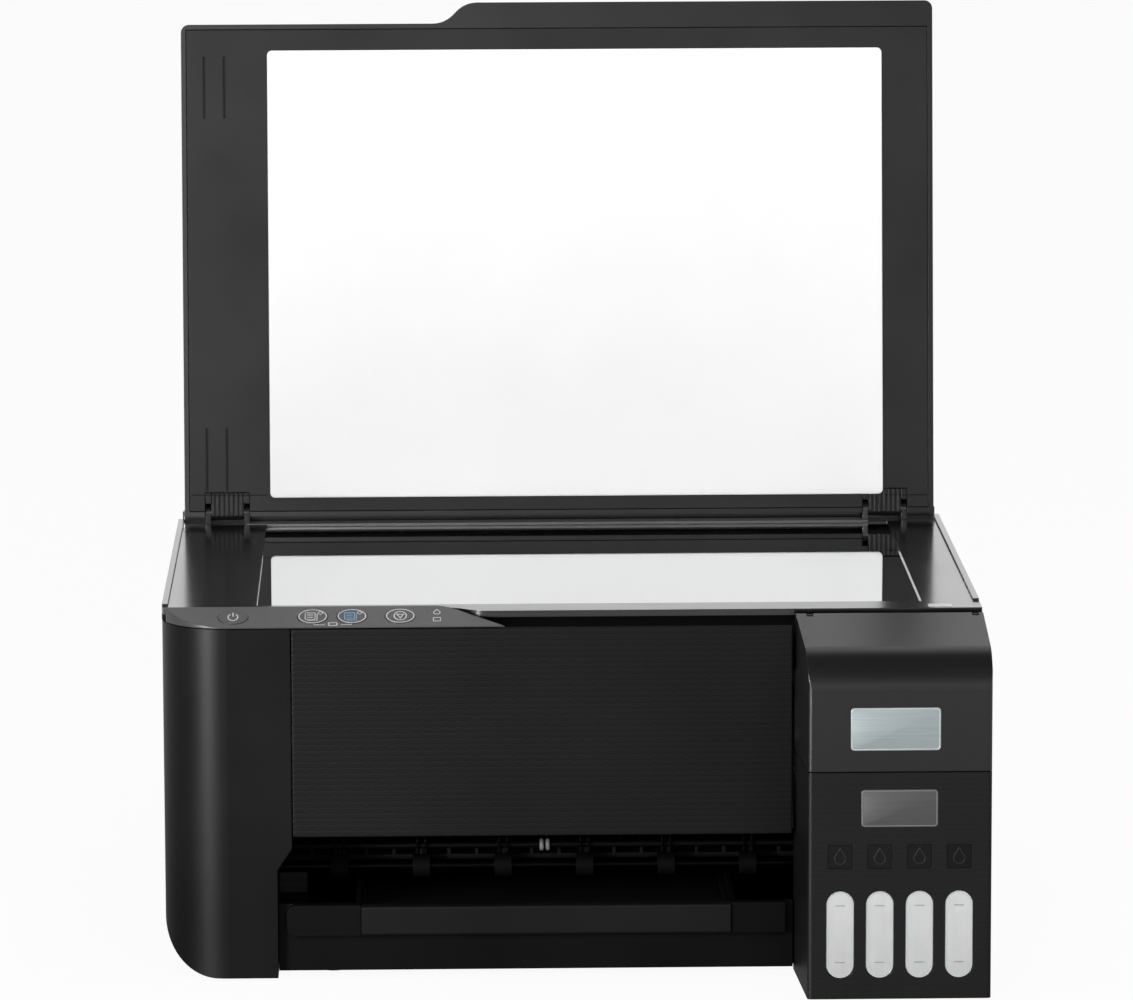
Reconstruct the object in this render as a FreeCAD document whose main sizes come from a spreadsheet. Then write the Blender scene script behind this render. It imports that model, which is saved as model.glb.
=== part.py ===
import FreeCAD, Part
import math
import os

import Sketcher
from FreeCAD import Placement, Rotation, Vector

# Inkjet printer with a flatbed scanner on top and refillable ink tanks at the front right.
# X runs to the right as seen from the front, Y to the back, Z up, in millimetres.
# The origin lies on the table, under the middle of the printer.

doc = FreeCAD.newDocument("inkjet_printer")
sheet = doc.addObject("Spreadsheet::Sheet", "Sizes")


class Size:
    """A length together with the sheet expression that yields it."""

    def __init__(self, text, value):
        self.text = text
        self.value = value

    def __add__(self, other):
        other = as_size(other)
        return Size(f"({self.text} + {other.text})", self.value + other.value)

    def __sub__(self, other):
        other = as_size(other)
        return Size(f"({self.text} - {other.text})", self.value - other.value)

    def __mul__(self, other):
        other = as_size(other)
        return Size(f"({self.text} * {other.text})", self.value * other.value)

    def __truediv__(self, other):
        other = as_size(other)
        return Size(f"({self.text} / {other.text})", self.value / other.value)

    def __radd__(self, other):
        return as_size(other) + self

    def __rsub__(self, other):
        return as_size(other) - self

    def __rmul__(self, other):
        return as_size(other) * self

    def __neg__(self):
        return as_size(0) - self


def as_size(number):
    if isinstance(number, Size):
        return number
    return Size(f"({number})", float(number))


def trig(name, angle):
    """Sine, cosine or tangent of an angle in degrees."""
    value = getattr(math, name)(math.radians(angle.value))
    return Size(f"{name}({angle.text} * 1 deg)", value)


row = 0


def size(alias, value, meaning):
    """Put one driving dimension on the sheet."""
    global row
    row += 1
    sheet.set(f"A{row}", meaning)
    sheet.set(f"B{row}", str(value))
    sheet.setAlias(f"B{row}", alias)
    return Size(f"Sizes.{alias}", float(value))


def bind(item, path, amount):
    item.setExpression(path, as_size(amount).text)


def block(name, x, y, z):
    """Box between three pairs of planes."""
    item = doc.addObject("Part::Box", name)
    for side, axis, (low, high) in zip(("Length", "Width", "Height"), "xyz", (x, y, z)):
        bind(item, side, as_size(high) - low)
        bind(item, "Placement.Base." + axis, low)
    return item


def rod(name, axis, along, centre, radius):
    """Cylinder along X, Y or Z; centre gives the other two coordinates in order."""
    item = doc.addObject("Part::Cylinder", name)
    spin = {"x": Rotation(Vector(0, 1, 0), 90), "y": Rotation(Vector(1, 0, 0), -90), "z": Rotation()}
    item.Placement = Placement(Vector(), spin[axis])
    bind(item, "Radius", radius)
    bind(item, "Height", as_size(along[1]) - along[0])
    others = [letter for letter in "xyz" if letter != axis]
    bind(item, "Placement.Base." + axis, along[0])
    for letter, amount in zip(others, centre):
        bind(item, "Placement.Base." + letter, amount)
    return item


def fuse(label, *pieces):
    item = doc.addObject("Part::MultiFuse", label)
    item.Shapes = list(pieces)
    item.Refine = True
    return item


def cut(label, base, *tools):
    item = doc.addObject("Part::Cut", label)
    item.Base = base
    item.Tool = tools[0] if len(tools) == 1 else group(label + "_tools", *tools)
    item.Refine = True
    return item


def common(label, *pieces):
    item = doc.addObject("Part::MultiCommon", label)
    item.Shapes = list(pieces)
    return item


def group(label, *pieces):
    """Several separate solids kept as one piece."""
    item = doc.addObject("Part::Compound", label)
    item.Links = list(pieces)
    return item


def soften(label, base, radius, chosen):
    """Round the edges of a piece that chosen() accepts."""
    doc.recompute()
    item = doc.addObject("Part::Fillet", label)
    item.Base = base
    item.Edges = [(index, radius.value, radius.value)
                  for index, edge in enumerate(base.Shape.Edges, 1) if chosen(edge)]
    return item


def on_plane(axis, level):
    """Chooser of the edges that lie in one plane."""
    low, high = axis.upper() + "Min", axis.upper() + "Max"

    def chosen(edge):
        box = edge.BoundBox
        return abs(getattr(box, low) - level.value) < 0.02 and abs(getattr(box, high) - level.value) < 0.02

    return chosen


def corner_points(outline, index):
    """Start, end, centre and middle of the rounding at one corner of an outline."""
    here = Vector(outline[index][0].value, outline[index][1].value, 0)
    before = Vector(outline[index - 1][0].value, outline[index - 1][1].value, 0) - here
    after_point = outline[(index + 1) % len(outline)]
    after = Vector(after_point[0].value, after_point[1].value, 0) - here
    before.normalize()
    after.normalize()
    radius = outline[index][2].value
    half = before.getAngle(after) / 2
    reach = radius / math.tan(half)
    inward = (before + after).normalize()
    centre = here + inward * (radius / math.sin(half))
    return here + before * reach, here + after * reach, centre - inward * radius, here


def draw(sketch, outline):
    """Closed outline of (u, v) or (u, v, rounding) corners, each corner held by the sheet."""
    outline = [tuple(as_size(part) for part in corner) for corner in outline]
    count = len(outline)
    ends = []
    for index, corner in enumerate(outline):
        here = Vector(corner[0].value, corner[1].value, 0)
        ends.append(corner_points(outline, index) if len(corner) == 3 else (here, here, None, here))
    lines = [sketch.addGeometry(Part.LineSegment(ends[i][1], ends[(i + 1) % count][0]), False)
             for i in range(count)]
    for index, corner in enumerate(outline):
        arriving, leaving = lines[index - 1], lines[index]
        holder = leaving
        if len(corner) == 3:
            start, end, middle, here = ends[index]
            turns_left = (middle - start).cross(end - middle).z > 0
            curve = Part.Arc(start, middle, end) if turns_left else Part.Arc(end, middle, start)
            arc = sketch.addGeometry(curve, False)
            first = 1 if turns_left else 2
            sketch.addConstraint(Sketcher.Constraint("Tangent", arriving, 2, arc, first))
            sketch.addConstraint(Sketcher.Constraint("Tangent", leaving, 1, arc, 3 - first))
            number = sketch.addConstraint(Sketcher.Constraint("Radius", arc, corner[2].value))
            bind(sketch, f"Constraints[{number}]", corner[2])
            holder = sketch.addGeometry(Part.Point(here), True)
            sketch.addConstraint(Sketcher.Constraint("PointOnObject", holder, 1, arriving))
            sketch.addConstraint(Sketcher.Constraint("PointOnObject", holder, 1, leaving))
        else:
            sketch.addConstraint(Sketcher.Constraint("Coincident", arriving, 2, leaving, 1))
        for kind, amount in (("DistanceX", corner[0]), ("DistanceY", corner[1])):
            number = sketch.addConstraint(Sketcher.Constraint(kind, -1, 1, holder, 1, amount.value))
            bind(sketch, f"Constraints[{number}]", amount)


def prism(name, plane, outline, span):
    """Padded outline: plane XY pads along Z, XZ along Y, YZ along X, over span."""
    body = doc.addObject("PartDesign::Body", name)
    sketch = body.newObject("Sketcher::SketchObject", name + "_outline")
    role = plane + "_Plane"
    sketch.AttachmentSupport = [(next(f for f in body.Origin.OriginFeatures if f.Role == role), "")]
    sketch.MapMode = "FlatFace"
    bind(sketch, "AttachmentOffset.Base.z", -as_size(span[1]) if plane == "XZ" else span[0])
    draw(sketch, outline)
    pad = body.newObject("PartDesign::Pad", name + "_pad")
    pad.Profile = sketch
    bind(pad, "Length", as_size(span[1]) - span[0])
    sketch.Visibility = False
    return body


def stadium(name, centre_x, half_width, low, high, along):
    """Upright slot shape with round ends, padded along Y."""
    middle = block(name + "_middle", (centre_x - half_width, centre_x + half_width), along,
                   (low + half_width, high - half_width))
    foot = rod(name + "_foot", "y", along, (centre_x, low + half_width), half_width)
    head = rod(name + "_head", "y", along, (centre_x, high - half_width), half_width)
    return fuse(name, middle, foot, head)


# Overall form
body_width = size("body_width", 375, "width over the side covers")
body_depth = size("body_depth", 347, "depth, tank unit to rear cover")
foot_height = size("foot_height", 1.5, "case underside above the table")
wall = size("wall", 2.2, "moulded wall")
seam = size("seam", 0.5, "gap between neighbouring covers")
slack = size("slack", 0.3, "gap between pieces that slide or nest")
swing_gap = size("swing_gap", 1.7, "room for the scanner's front faces as it swings up")
bearing = size("bearing", 0.05, "radial play of a turning shaft")
press = size("press", 0.02, "radial play of a pin in its seat")
front_top = size("front_top", 164, "top of the front panel and the column")
seam_drop = size("seam_drop", 24.2, "side covers' top below the front's top")
tank_reach = size("tank_reach", 50, "tank unit in front of the front panel")
tank_width = size("tank_width", 83, "width of the tank unit")
tank_draft = size("tank_draft", 3, "lean of the tank unit's left face over its depth")
tank_depth = size("tank_depth", 61.5, "depth of the tank housing")
column_width = size("column_width", 59, "width of the left column beside the front panel")
column_depth = size("column_depth", 31, "depth of the left column above the seam")
column_set = size("column_set", 0.5, "column face behind the panel face")
corner_round = size("corner_round", 30, "upright front left corner")
base_round = size("base_round", 25, "lower left edge")
side_floor = size("side_floor", 37.8, "floor flange of the left side cover")
foot_radius = size("foot_radius", 7, "rubber feet")

half_width = body_width / 2
left = -half_width
right = half_width
front = -(body_depth / 2)
rear = body_depth / 2
underside = foot_height
panel_front = front + tank_reach
column_front = panel_front + column_set
column_right = left + column_width
tank_left = right - tank_width
tank_rear = front + tank_depth
inner_rear = rear - wall - slack
seam_height = front_top - seam_drop

# Paper exit and output tray
exit_inset = size("exit_inset", 6.7, "column is narrower beside the paper exit")
cheek_depth = size("cheek_depth", 49, "depth of the left cheek of the paper exit")
bevel_low = size("bevel_low", 52, "start of the slope over the cheek")
bevel_high = size("bevel_high", 62, "end of the slope over the cheek")
panel_low = size("panel_low", 67.4, "lower edge of the front panel")
panel_thick = size("panel_thick", 2.5, "front panel")
recess_drop = size("recess_drop", 8.5, "finger recess under the panel's top edge")
ledge_low = size("ledge_low", 20.6, "underside of the front ledge")
ledge_high = size("ledge_high", 34.9, "top of the front ledge")
ledge_front = size("ledge_front", 2.5, "ledge behind the panel face")
ledge_left = size("ledge_left", 56.5, "ledge's left end from the left side")
ledge_right = size("ledge_right", 90.1, "ledge's right end from the right side")
ledge_round = size("ledge_round", 4, "rounded ends of the ledge")
apron_set = size("apron_set", 6.5, "apron behind the panel face")
floor_thick = size("floor_thick", 2.5, "case floor")
tray_centre = size("tray_centre", -12.35, "middle of the paper path")
tray_width = size("tray_width", 169.2, "front bar of the output tray")
tray_plate = size("tray_plate", 2.4, "tray plates")
tray_length = size("tray_length", 101.5, "first stage of the output tray")
tray_lip = size("tray_lip", 8.4, "height of the tray's side lips")
lip_thick = size("lip_thick", 2, "tray's side lips")
bar_depth = size("bar_depth", 6.5, "front bar of the tray")
bar_inset = size("bar_inset", 0.3, "front bar inside the ledge")
stopper_width = size("stopper_width", 44, "paper stopper")
stopper_length = size("stopper_length", 25, "paper stopper")
stopper_pivot = size("stopper_pivot", 1, "radius of the stopper's pivots")
bar_set = size("bar_set", 1, "tray's front bar behind the panel face")
extension_length = size("extension_length", 98, "second stage of the output tray")

exit_left = column_right - exit_inset
floor_low = underside + wall
floor_top = floor_low + floor_thick
apron_front = panel_front + apron_set
tray_left = tray_centre - tray_width / 2
tray_right = tray_centre + tray_width / 2
tray_low = ledge_low

# Print mechanism
plate = size("plate", 1.5, "sheet steel of the frame")
frame_in_left = size("frame_in_left", 26, "left frame plate from the left side")
frame_in_right = size("frame_in_right", 14, "right frame plate from the right side")
frame_set = size("frame_set", 43.5, "frame's front edge behind the front panel")
frame_depth = size("frame_depth", 119.5, "frame plates, front to back")
frame_rise = size("frame_rise", 10, "frame over the carriage")
arch_in = size("arch_in", 63.5, "paper gap in the frame from the printer's sides")
arch_rise = size("arch_rise", 18.5, "paper gap in the frame over the rollers' axis")
roller_height = size("roller_height", 41.5, "feed and eject roller axes")
feed_set = size("feed_set", 21.5, "feed roller in front of the frame's back")
feed_radius = size("feed_radius", 6.25, "feed roller")
journal = size("journal", 4, "feed and load roller journals")
eject_shaft = size("eject_shaft", 3, "eject roller shaft")
ring_radius = size("ring_radius", 5.2, "rubber rings of the eject roller")
ring_width = size("ring_width", 8, "rubber rings of the eject roller")
ring_pitch = size("ring_pitch", 38, "spacing of the rubber rings")
star_radius = size("star_radius", 4, "star wheels")
star_shaft = size("star_shaft", 1.5, "star wheel axle")
star_teeth = size("star_teeth", 14, "points of a star wheel")
gear_module = size("gear_module", 1, "gear teeth")
feed_teeth = size("feed_teeth", 48, "feed gear")
idler_teeth = size("idler_teeth", 40, "idler gear")
eject_teeth = size("eject_teeth", 40, "eject gear")
pinion_teeth = size("pinion_teeth", 16, "motor pinion")
pinion_angle = size("pinion_angle", 128, "pinion round the feed gear")
gear_width = size("gear_width", 5, "gear faces")
gear_set = size("gear_set", 3, "gears from the frame plate")
rail_set = size("rail_set", 11.5, "carriage rail in front of the frame's back")
rail_rise = size("rail_rise", 30.5, "carriage rail over the rollers' axis")
rail_radius = size("rail_radius", 4, "carriage rail")
home_set = size("home_set", 53.5, "parked carriage from the right side")
carriage_half = size("carriage_half", 33, "half width of the carriage")
carriage_set = size("carriage_set", 22, "carriage behind the frame's front edge")
carriage_depth = size("carriage_depth", 66, "carriage body, front to back")
carriage_height = size("carriage_height", 56, "carriage body")
head_height = size("head_height", 6, "nozzle block under the carriage")
print_gap = size("print_gap", 2, "nozzle face over the platen's ribs")
paper_line = size("paper_line", 0.25, "platen's ribs over the feed roller's top")
pulley_rise = size("pulley_rise", 22, "belt pulleys over the carriage rail")
pulley_radius = size("pulley_radius", 6, "belt pulleys")
motor_in = size("motor_in", 37.5, "driven pulley from the right side")
idler_in = size("idler_in", 47.5, "idler pulley from the left side")
belt_set = size("belt_set", 8, "belt's front edge in front of the frame's back")
belt_width = size("belt_width", 4, "belt")
belt_thick = size("belt_thick", 1.1, "belt")
motor_shaft = size("motor_shaft", 1.5, "motor shafts")
pinch_radius = size("pinch_radius", 4, "pinch rollers")
pinch_half = size("pinch_half", 110, "half width of the pinch roller holder")
screw_radius = size("screw_radius", 1.5, "frame screws")
screw_play = size("screw_play", 0.1, "radial play of a screw in its hole")

frame_left = left + frame_in_left
arch_half = half_width - arch_in
frame_right = right - frame_in_right
frame_front = panel_front + frame_set
frame_back = frame_front + frame_depth
feed_axis = frame_back - feed_set
rail_axis = frame_back - rail_set
rail_height = roller_height + rail_rise
pulley_height = rail_height + pulley_rise
motor_pulley_x = right - motor_in
idler_pulley_x = left + idler_in
belt_front = frame_back - belt_set
carriage_home = right - home_set
carriage_front = frame_front + carriage_set
carriage_back = carriage_front + carriage_depth
platen_top = roller_height + feed_radius + paper_line
head_low = platen_top + print_gap
carriage_low = head_low + head_height
carriage_top = carriage_low + carriage_height
frame_top = carriage_top + frame_rise
arch_top = roller_height + arch_rise
eject_axis = feed_axis - gear_module * (feed_teeth + idler_teeth * 2 + eject_teeth) / 2
idler_axis = feed_axis - gear_module * (feed_teeth + idler_teeth) / 2
pinion_reach = gear_module * (feed_teeth + pinion_teeth) / 2
pinion_axis = feed_axis + pinion_reach * trig("cos", pinion_angle)
pinion_height = roller_height + pinion_reach * trig("sin", pinion_angle)
star_height = roller_height + ring_radius + star_radius + slack
gear_span = (frame_left - gear_set - gear_width, frame_left - gear_set)
plate_left = (frame_left, frame_left + plate)
plate_right = (frame_right - plate, frame_right)
ring_places = [tray_centre + ring_pitch * (step - 2.5) for step in range(6)]

# Rear paper feed
lean = size("lean", 18, "paper plane from upright")
plane_set = size("plane_set", 9.5, "top of the paper plane in front of the back")
hopper_rise = size("hopper_rise", 4, "hopper over the front's top")
hopper_depth = size("hopper_depth", 61.5, "hopper's side plates, from the back")
hopper_bend = size("hopper_bend", 86, "height of the bend to the feed roller")
guide_set = size("guide_set", 12, "lower guide behind the feed roller's axis")
guide_rise = size("guide_rise", 4.5, "lower guide's front end over the feed roller's axis")
hopper_in = size("hopper_in", 65.5, "hopper's side plates from the printer's sides")
load_radius = size("load_radius", 14, "load roller")
load_height = size("load_height", 95, "where the load roller meets the paper plane")
support_half = size("support_half", 75, "half width of the paper support")
support_length = size("support_length", 95, "paper support")
support_thick = size("support_thick", 2.5, "paper support")
guide_inset = size("guide_inset", 18, "edge guide from the hopper's left side")
guard_set = size("guard_set", 17.7, "feeder guard's pivot in front of the back")
guard_drop = size("guard_drop", 1.5, "feeder guard's pivot below the hopper's top")
guard_pivot = size("guard_pivot", 1, "radius of the feeder guard's pivots")
guard_length = size("guard_length", 7.5, "feeder guard")

slope = trig("tan", lean)
hopper_half = half_width - hopper_in
plane_top = rear - plane_set
hopper_top = front_top + hopper_rise
hopper_end = feed_axis + guide_set
guide_end = roller_height + guide_rise
guard_axis = rear - guard_set
guard_height = hopper_top - guard_drop


def plane_at(height):
    """Front face of the paper plane at a height."""
    return plane_top - (hopper_top - height) * slope


load_axis = plane_at(load_height) - (load_radius + slack) * trig("cos", lean)
load_axis_height = load_height + (load_radius + slack) * trig("sin", lean)

# Scanner, control panel and lid
rear_deck = size("rear_deck", 25.5, "scanner's rear wall in front of the back")
panel_depth = size("panel_depth", 19, "control panel, front to back")
base_rise = size("base_rise", 3.2, "scanner base over the front's top")
bezel_thick = size("bezel_thick", 3, "scanner bezel")
glass_drop = size("glass_drop", 1.2, "glass below the bezel's top")
glass_thick = size("glass_thick", 3, "scanner glass")
glass_margin = size("glass_margin", 4.5, "glass under the bezel round the scan window")
rim_height = size("rim_height", 1, "raised side rims of the bezel")
rim_width = size("rim_width", 2.7, "raised side rims of the bezel")
lip_reach = size("lip_reach", 9, "grip lip in front of the scanner base")
left_plate = size("left_plate", 43.5, "bezel left of the scan window")
right_plate = size("right_plate", 26.5, "bezel right of the scan window")
front_plate = size("front_plate", 8.5, "bezel in front of the scan window")
rear_plate = size("rear_plate", 17.5, "bezel behind the scan window")
deck_gap = size("deck_gap", 2.2, "gap between the scanner and the rear deck")
hinge_set = size("hinge_set", 4.5, "scanner hinge behind the scanner")
hinge_drop = size("hinge_drop", 5.2, "scanner hinge below the scanner base's top")
eye_radius = size("eye_radius", 4, "eyes of the scanner hinge")
pin_radius = size("pin_radius", 2, "hinge pins")
panel_in = size("panel_in", 129.5, "rear right corner of the control panel from the left side")
panel_sweep = size("panel_sweep", 27, "front right corner of the control panel beyond the rear one")
panel_set = size("panel_set", 0.5, "underside of the control panel over the front's top")
panel_lip = size("panel_lip", 0.5, "front edge of the control panel over its underside")
panel_rise = size("panel_rise", 6.2, "rear edge of the control panel over the front edge")
key_radius = size("key_radius", 6.8, "control keys")
key_depth = size("key_depth", 3, "control keys")
key_proud = size("key_proud", 0.2, "control keys over the panel")
key_play = size("key_play", 0.24, "gap round a control key")
power_in = size("power_in", 33, "power key from the left side")
mono_in = size("mono_in", 69.3, "mono copy key from the left side")
colour_in = size("colour_in", 87.2, "colour copy key from the left side")
stop_in = size("stop_in", 109.2, "stop key from the left side")
cis_set = size("cis_set", 21.5, "scanning bar at rest from the left side")
cis_half = size("cis_half", 9, "half width of the scanning bar")
cis_gap = size("cis_gap", 0.6, "scanning bar under the glass")
cis_height = size("cis_height", 14.4, "scanning bar")
cis_rail_drop = size("cis_rail_drop", 16, "rail of the scanning bar under the glass")
cis_rail_radius = size("cis_rail_radius", 3, "rail of the scanning bar")
lid_set = size("lid_set", 12.8, "lid hinge in front of the scanner's rear wall")
lid_lift = size("lid_lift", 5.5, "lid hinge over the bezel")
lid_open = size("lid_open", 96.2, "lid opening angle")
lid_inset = size("lid_inset", 3.5, "lid inside the side covers")
lid_gap = size("lid_gap", 0.7, "lid's front edge behind the control panel")
lid_step = size("lid_step", 10.2, "right part of the lid is longer")
lid_rise = size("lid_rise", 3.3, "lid's outer face from its hinge axis")
lid_drop = size("lid_drop", 5, "lid's inner face from its hinge axis")
lid_tail = size("lid_tail", 2, "lid behind its hinge axis")
lid_wall = size("lid_wall", 2.4, "lid rim")
lid_round = size("lid_round", 4, "corners of the lid's front edge")
post_inset = size("post_inset", 34, "liner posts inside the lid's sides")
curve_round = size("curve_round", 14, "S curve of the lid's front edge")
pad_inset = size("pad_inset", 2, "lid pad inside the scan window")
pad_start = size("pad_start", 7.2, "lid pad from the hinge axis")
pad_end = size("pad_end", 12.8, "lid pad from the lid's front edge")
pad_thick = size("pad_thick", 1.2, "lid pad")
pad_round = size("pad_round", 2, "corners of the lid pad")
hinge_in_left = size("hinge_in_left", 24.5, "left lid hinge from the left side")
hinge_in_right = size("hinge_in_right", 27.5, "right lid hinge from the right side")
knuckle_half = size("knuckle_half", 8, "half width of a lid hinge knuckle")
knuckle_round = size("knuckle_round", 3.8, "lid hinge knuckle")
rib_pitch = size("rib_pitch", 2.3, "ribs of a lid hinge knuckle")
ear_thick = size("ear_thick", 2.5, "hinge ears")

scanner_rear = rear - rear_deck
panel_rear = panel_front + panel_depth
base_top = front_top + base_rise
bezel_top = base_top + bezel_thick
glass_top = bezel_top - glass_drop
glass_low = glass_top - glass_thick
window_left = left + left_plate
window_right = right - right_plate
window_front = panel_rear + front_plate
window_rear = scanner_rear - rear_plate
window_middle = (window_front + window_rear) / 2
hinge_axis = scanner_rear + hinge_set
hinge_height = base_top - hinge_drop
panel_end = left + panel_in
panel_tip = panel_end + panel_sweep
panel_base = front_top + panel_set
panel_edge = panel_base + panel_lip
panel_crest = panel_edge + panel_rise
cis_home = left + cis_set
cis_rail_height = glass_low - cis_rail_drop
lid_axis = scanner_rear - lid_set
lid_height = bezel_top + lid_lift
lid_half = half_width - lid_inset
lid_length = lid_axis - panel_rear - lid_gap
lid_hinges = (left + hinge_in_left, right - hinge_in_right)
keys = {"button_power": left + power_in, "button_copy_mono": left + mono_in,
        "button_copy_colour": left + colour_in, "button_stop": left + stop_in}
key_middle = (panel_front + panel_rear) / 2
key_top = (panel_edge + panel_crest) / 2

# Ink supply
window_pitch = size("window_pitch", 17.9, "spacing of the tanks")
window_half = size("window_half", 6.45, "half width of an ink window")
window_low = size("window_low", 10.9, "lower end of an ink window")
window_high = size("window_high", 51.5, "upper end of an ink window")
cover_low = size("cover_low", 106.2, "lower edge of the tank cover")
cover_rise = size("cover_rise", 5.5, "tank cover over the front's top, at the back")
cover_slope = size("cover_slope", 11, "slope of the tank cover's top")
cover_round = size("cover_round", 18, "front bend of the tank cover")
cover_set = size("cover_set", 3, "tank cover in front of the housing's rear")
cover_in = size("cover_in", 3.5, "tank cover hinge from the cover's rear")
cover_drop = size("cover_drop", 4.2, "tank cover hinge below the cover's top")
trunnion = size("trunnion", 1.5, "tank cover pivots")
ear_round = size("ear_round", 3.2, "tank cover hinge ears")
tank_half = size("tank_half", 7.75, "half width of a tank")
tank_drop = size("tank_drop", 7.5, "top of the tanks below the cover")
tank_short = size("tank_short", 9, "tanks in front of the housing's rear")
neck_set = size("neck_set", 27.5, "filler necks behind the housing's front")
neck_rise = size("neck_rise", 5.3, "filler necks over the tanks")
neck_radius = size("neck_radius", 5.5, "filler necks")
neck_bore = size("neck_bore", 4, "filler necks")
cap_radius = size("cap_radius", 7, "tank caps")
cap_height = size("cap_height", 4.8, "tank caps")
edge_round = size("edge_round", 1.2, "rounded outer edges")
fine_round = size("fine_round", 0.6, "rounded small edges")
tank_round = size("tank_round", 2, "upright front edges of the tank unit")
mark_half = size("mark_half", 5.6, "half width of a colour mark's square")
mark_rise = size("mark_rise", 10.1, "colour marks over the ink windows")
mark_height = size("mark_height", 11.1, "colour marks")
mark_depth = size("mark_depth", 0.3, "colour marks")

cover_top = front_top + cover_rise
cover_rear = tank_rear - cover_set
cover_axis = cover_rear - cover_in
cover_hinge = cover_top - cover_drop
tank_top = cover_low - tank_drop
neck_line = front + neck_set
neck_top = tank_top + neck_rise
tank_middle = right - tank_width / 2
tank_places = [tank_middle + window_pitch * (step - 1.5) for step in range(4)]
cover_sides = ((tank_left + wall, 1), (right - wall, -1))

# Electrics
board_top = size("board_top", 11.8, "upper face of the main board")
board_thick = size("board_thick", 1.6, "main board")
board_in = size("board_in", 77.5, "main board from the left side")
board_width = size("board_width", 170, "main board")
board_depth = size("board_depth", 86, "main board")
socket_depth = size("socket_depth", 25, "mains inlet, front to back")
socket_set = size("socket_set", 0.5, "sockets inside the rear face")
supply_set = size("supply_set", 22.5, "power supply behind the frame")
supply_width = size("supply_width", 54, "power supply")
supply_in = size("supply_in", 6.5, "power supply from the right side")
supply_top = size("supply_top", 50, "top of the power supply")
inlet_in = size("inlet_in", 33.5, "mains inlet from the right side")
inlet_height = size("inlet_height", 25, "mains inlet")
inlet_half = size("inlet_half", 14, "half width of the mains inlet")
inlet_tall = size("inlet_tall", 11, "half height of the mains inlet")
usb_in = size("usb_in", 90.5, "data socket from the left side")
usb_depth = size("usb_depth", 35, "data socket, front to back")
usb_half = size("usb_half", 7, "half width of the data socket")
usb_tall = size("usb_tall", 12.4, "data socket")
vent_pitch = size("vent_pitch", 9, "vents in the rear cover")
vent_half = size("vent_half", 2, "half width of a vent")
vent_low = size("vent_low", 84, "lower end of the vents")
vent_high = size("vent_high", 120, "upper end of the vents")

socket_rear = rear - socket_set
inlet_centre = right - inlet_in
usb_centre = left + usb_in
board_left = left + board_in
board_right = board_left + board_width
board_rear = socket_rear - socket_depth
board_front = board_rear - board_depth
supply_right = right - supply_in
supply_left = supply_right - supply_width
supply_front = frame_back + supply_set

doc.recompute()


board_posts = [(x, y) for x in (board_left + 6, board_right - 6) for y in (board_front + 6, board_rear - 12)]
screw_places = [(x, y) for x in (frame_left + 7.5, frame_right - 7.5)
                for y in (frame_front + 35, frame_front + 100)]


def lower_case():
    """Floor, front apron, ledges and the channel that carries the output tray."""
    column_rear = column_front + column_depth
    cheek_rear = column_front + cheek_depth
    case_right = tank_left - tank_draft - seam
    outline = [(exit_left + slack, apron_front), (case_right, apron_front), (case_right, tank_rear + seam),
               (right - wall - slack, tank_rear + seam), (right - wall - slack, inner_rear),
               (left + base_round, inner_rear), (left + base_round, column_rear + seam),
               (exit_left - wall - slack, column_rear + seam), (exit_left - wall - slack, cheek_rear + seam),
               (exit_left + slack, cheek_rear + seam)]
    floor = prism("case_floor", "XY", outline, (floor_low, floor_top))
    apron = block("apron", (exit_left + slack, case_right), (apron_front, apron_front + wall),
                  (floor_low, ledge_high))
    slot = block("tray_slot", (tray_left - slack, tray_right + slack),
                 (apron_front - 1, apron_front + wall + 1), (tray_low - slack, ledge_high + 1))
    ledge_span = (panel_front + ledge_front, apron_front + wall)
    left_ledge = prism("left_ledge", "XZ",
                       [(left + ledge_left, ledge_low, ledge_round), (tray_left - slack, ledge_low),
                        (tray_left - slack, ledge_high), (left + ledge_left, ledge_high, ledge_round)],
                       ledge_span)
    right_ledge = block("right_ledge", (tray_right + slack, right - ledge_right), ledge_span,
                        (ledge_low, ledge_high))
    pieces = [floor, cut("apron_open", apron, slot), left_ledge, right_ledge]
    run = (apron_front + wall - 0.1, apron_front + tray_length + 5)
    for name, face, way in (("left", tray_left - slack, 1), ("right", tray_right + slack, -1)):
        outer = (face - wall, face) if way > 0 else (face, face + wall)
        shelf = (face, face + 6) if way > 0 else (face - 6, face)
        pieces.append(block(name + "_channel", outer, run, (floor_top, ledge_high)))
        pieces.append(block(name + "_runner", shelf, run, (tray_low - slack - wall, tray_low - slack)))
    for place in board_posts:
        pieces.append(rod("board_post", "z", (floor_top, board_top - board_thick), place, 3))
    holes = [rod("floor_hole", "z", (floor_low - 1, floor_top + 1), place, screw_radius + screw_play)
             for place in screw_places]
    return cut("lower_case", fuse("lower_case_whole", *pieces), *holes)


def side_corner(name, radius):
    """Material outside the rounding of the lower left edge."""
    span = (front, rear)
    corner = block(name + "_corner", (left - 1, left + base_round), span,
                   (underside - 1, underside + base_round))
    round_part = rod(name + "_round", "y", span, (left + base_round, underside + base_round), radius)
    return cut(name, corner, round_part)


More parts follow.
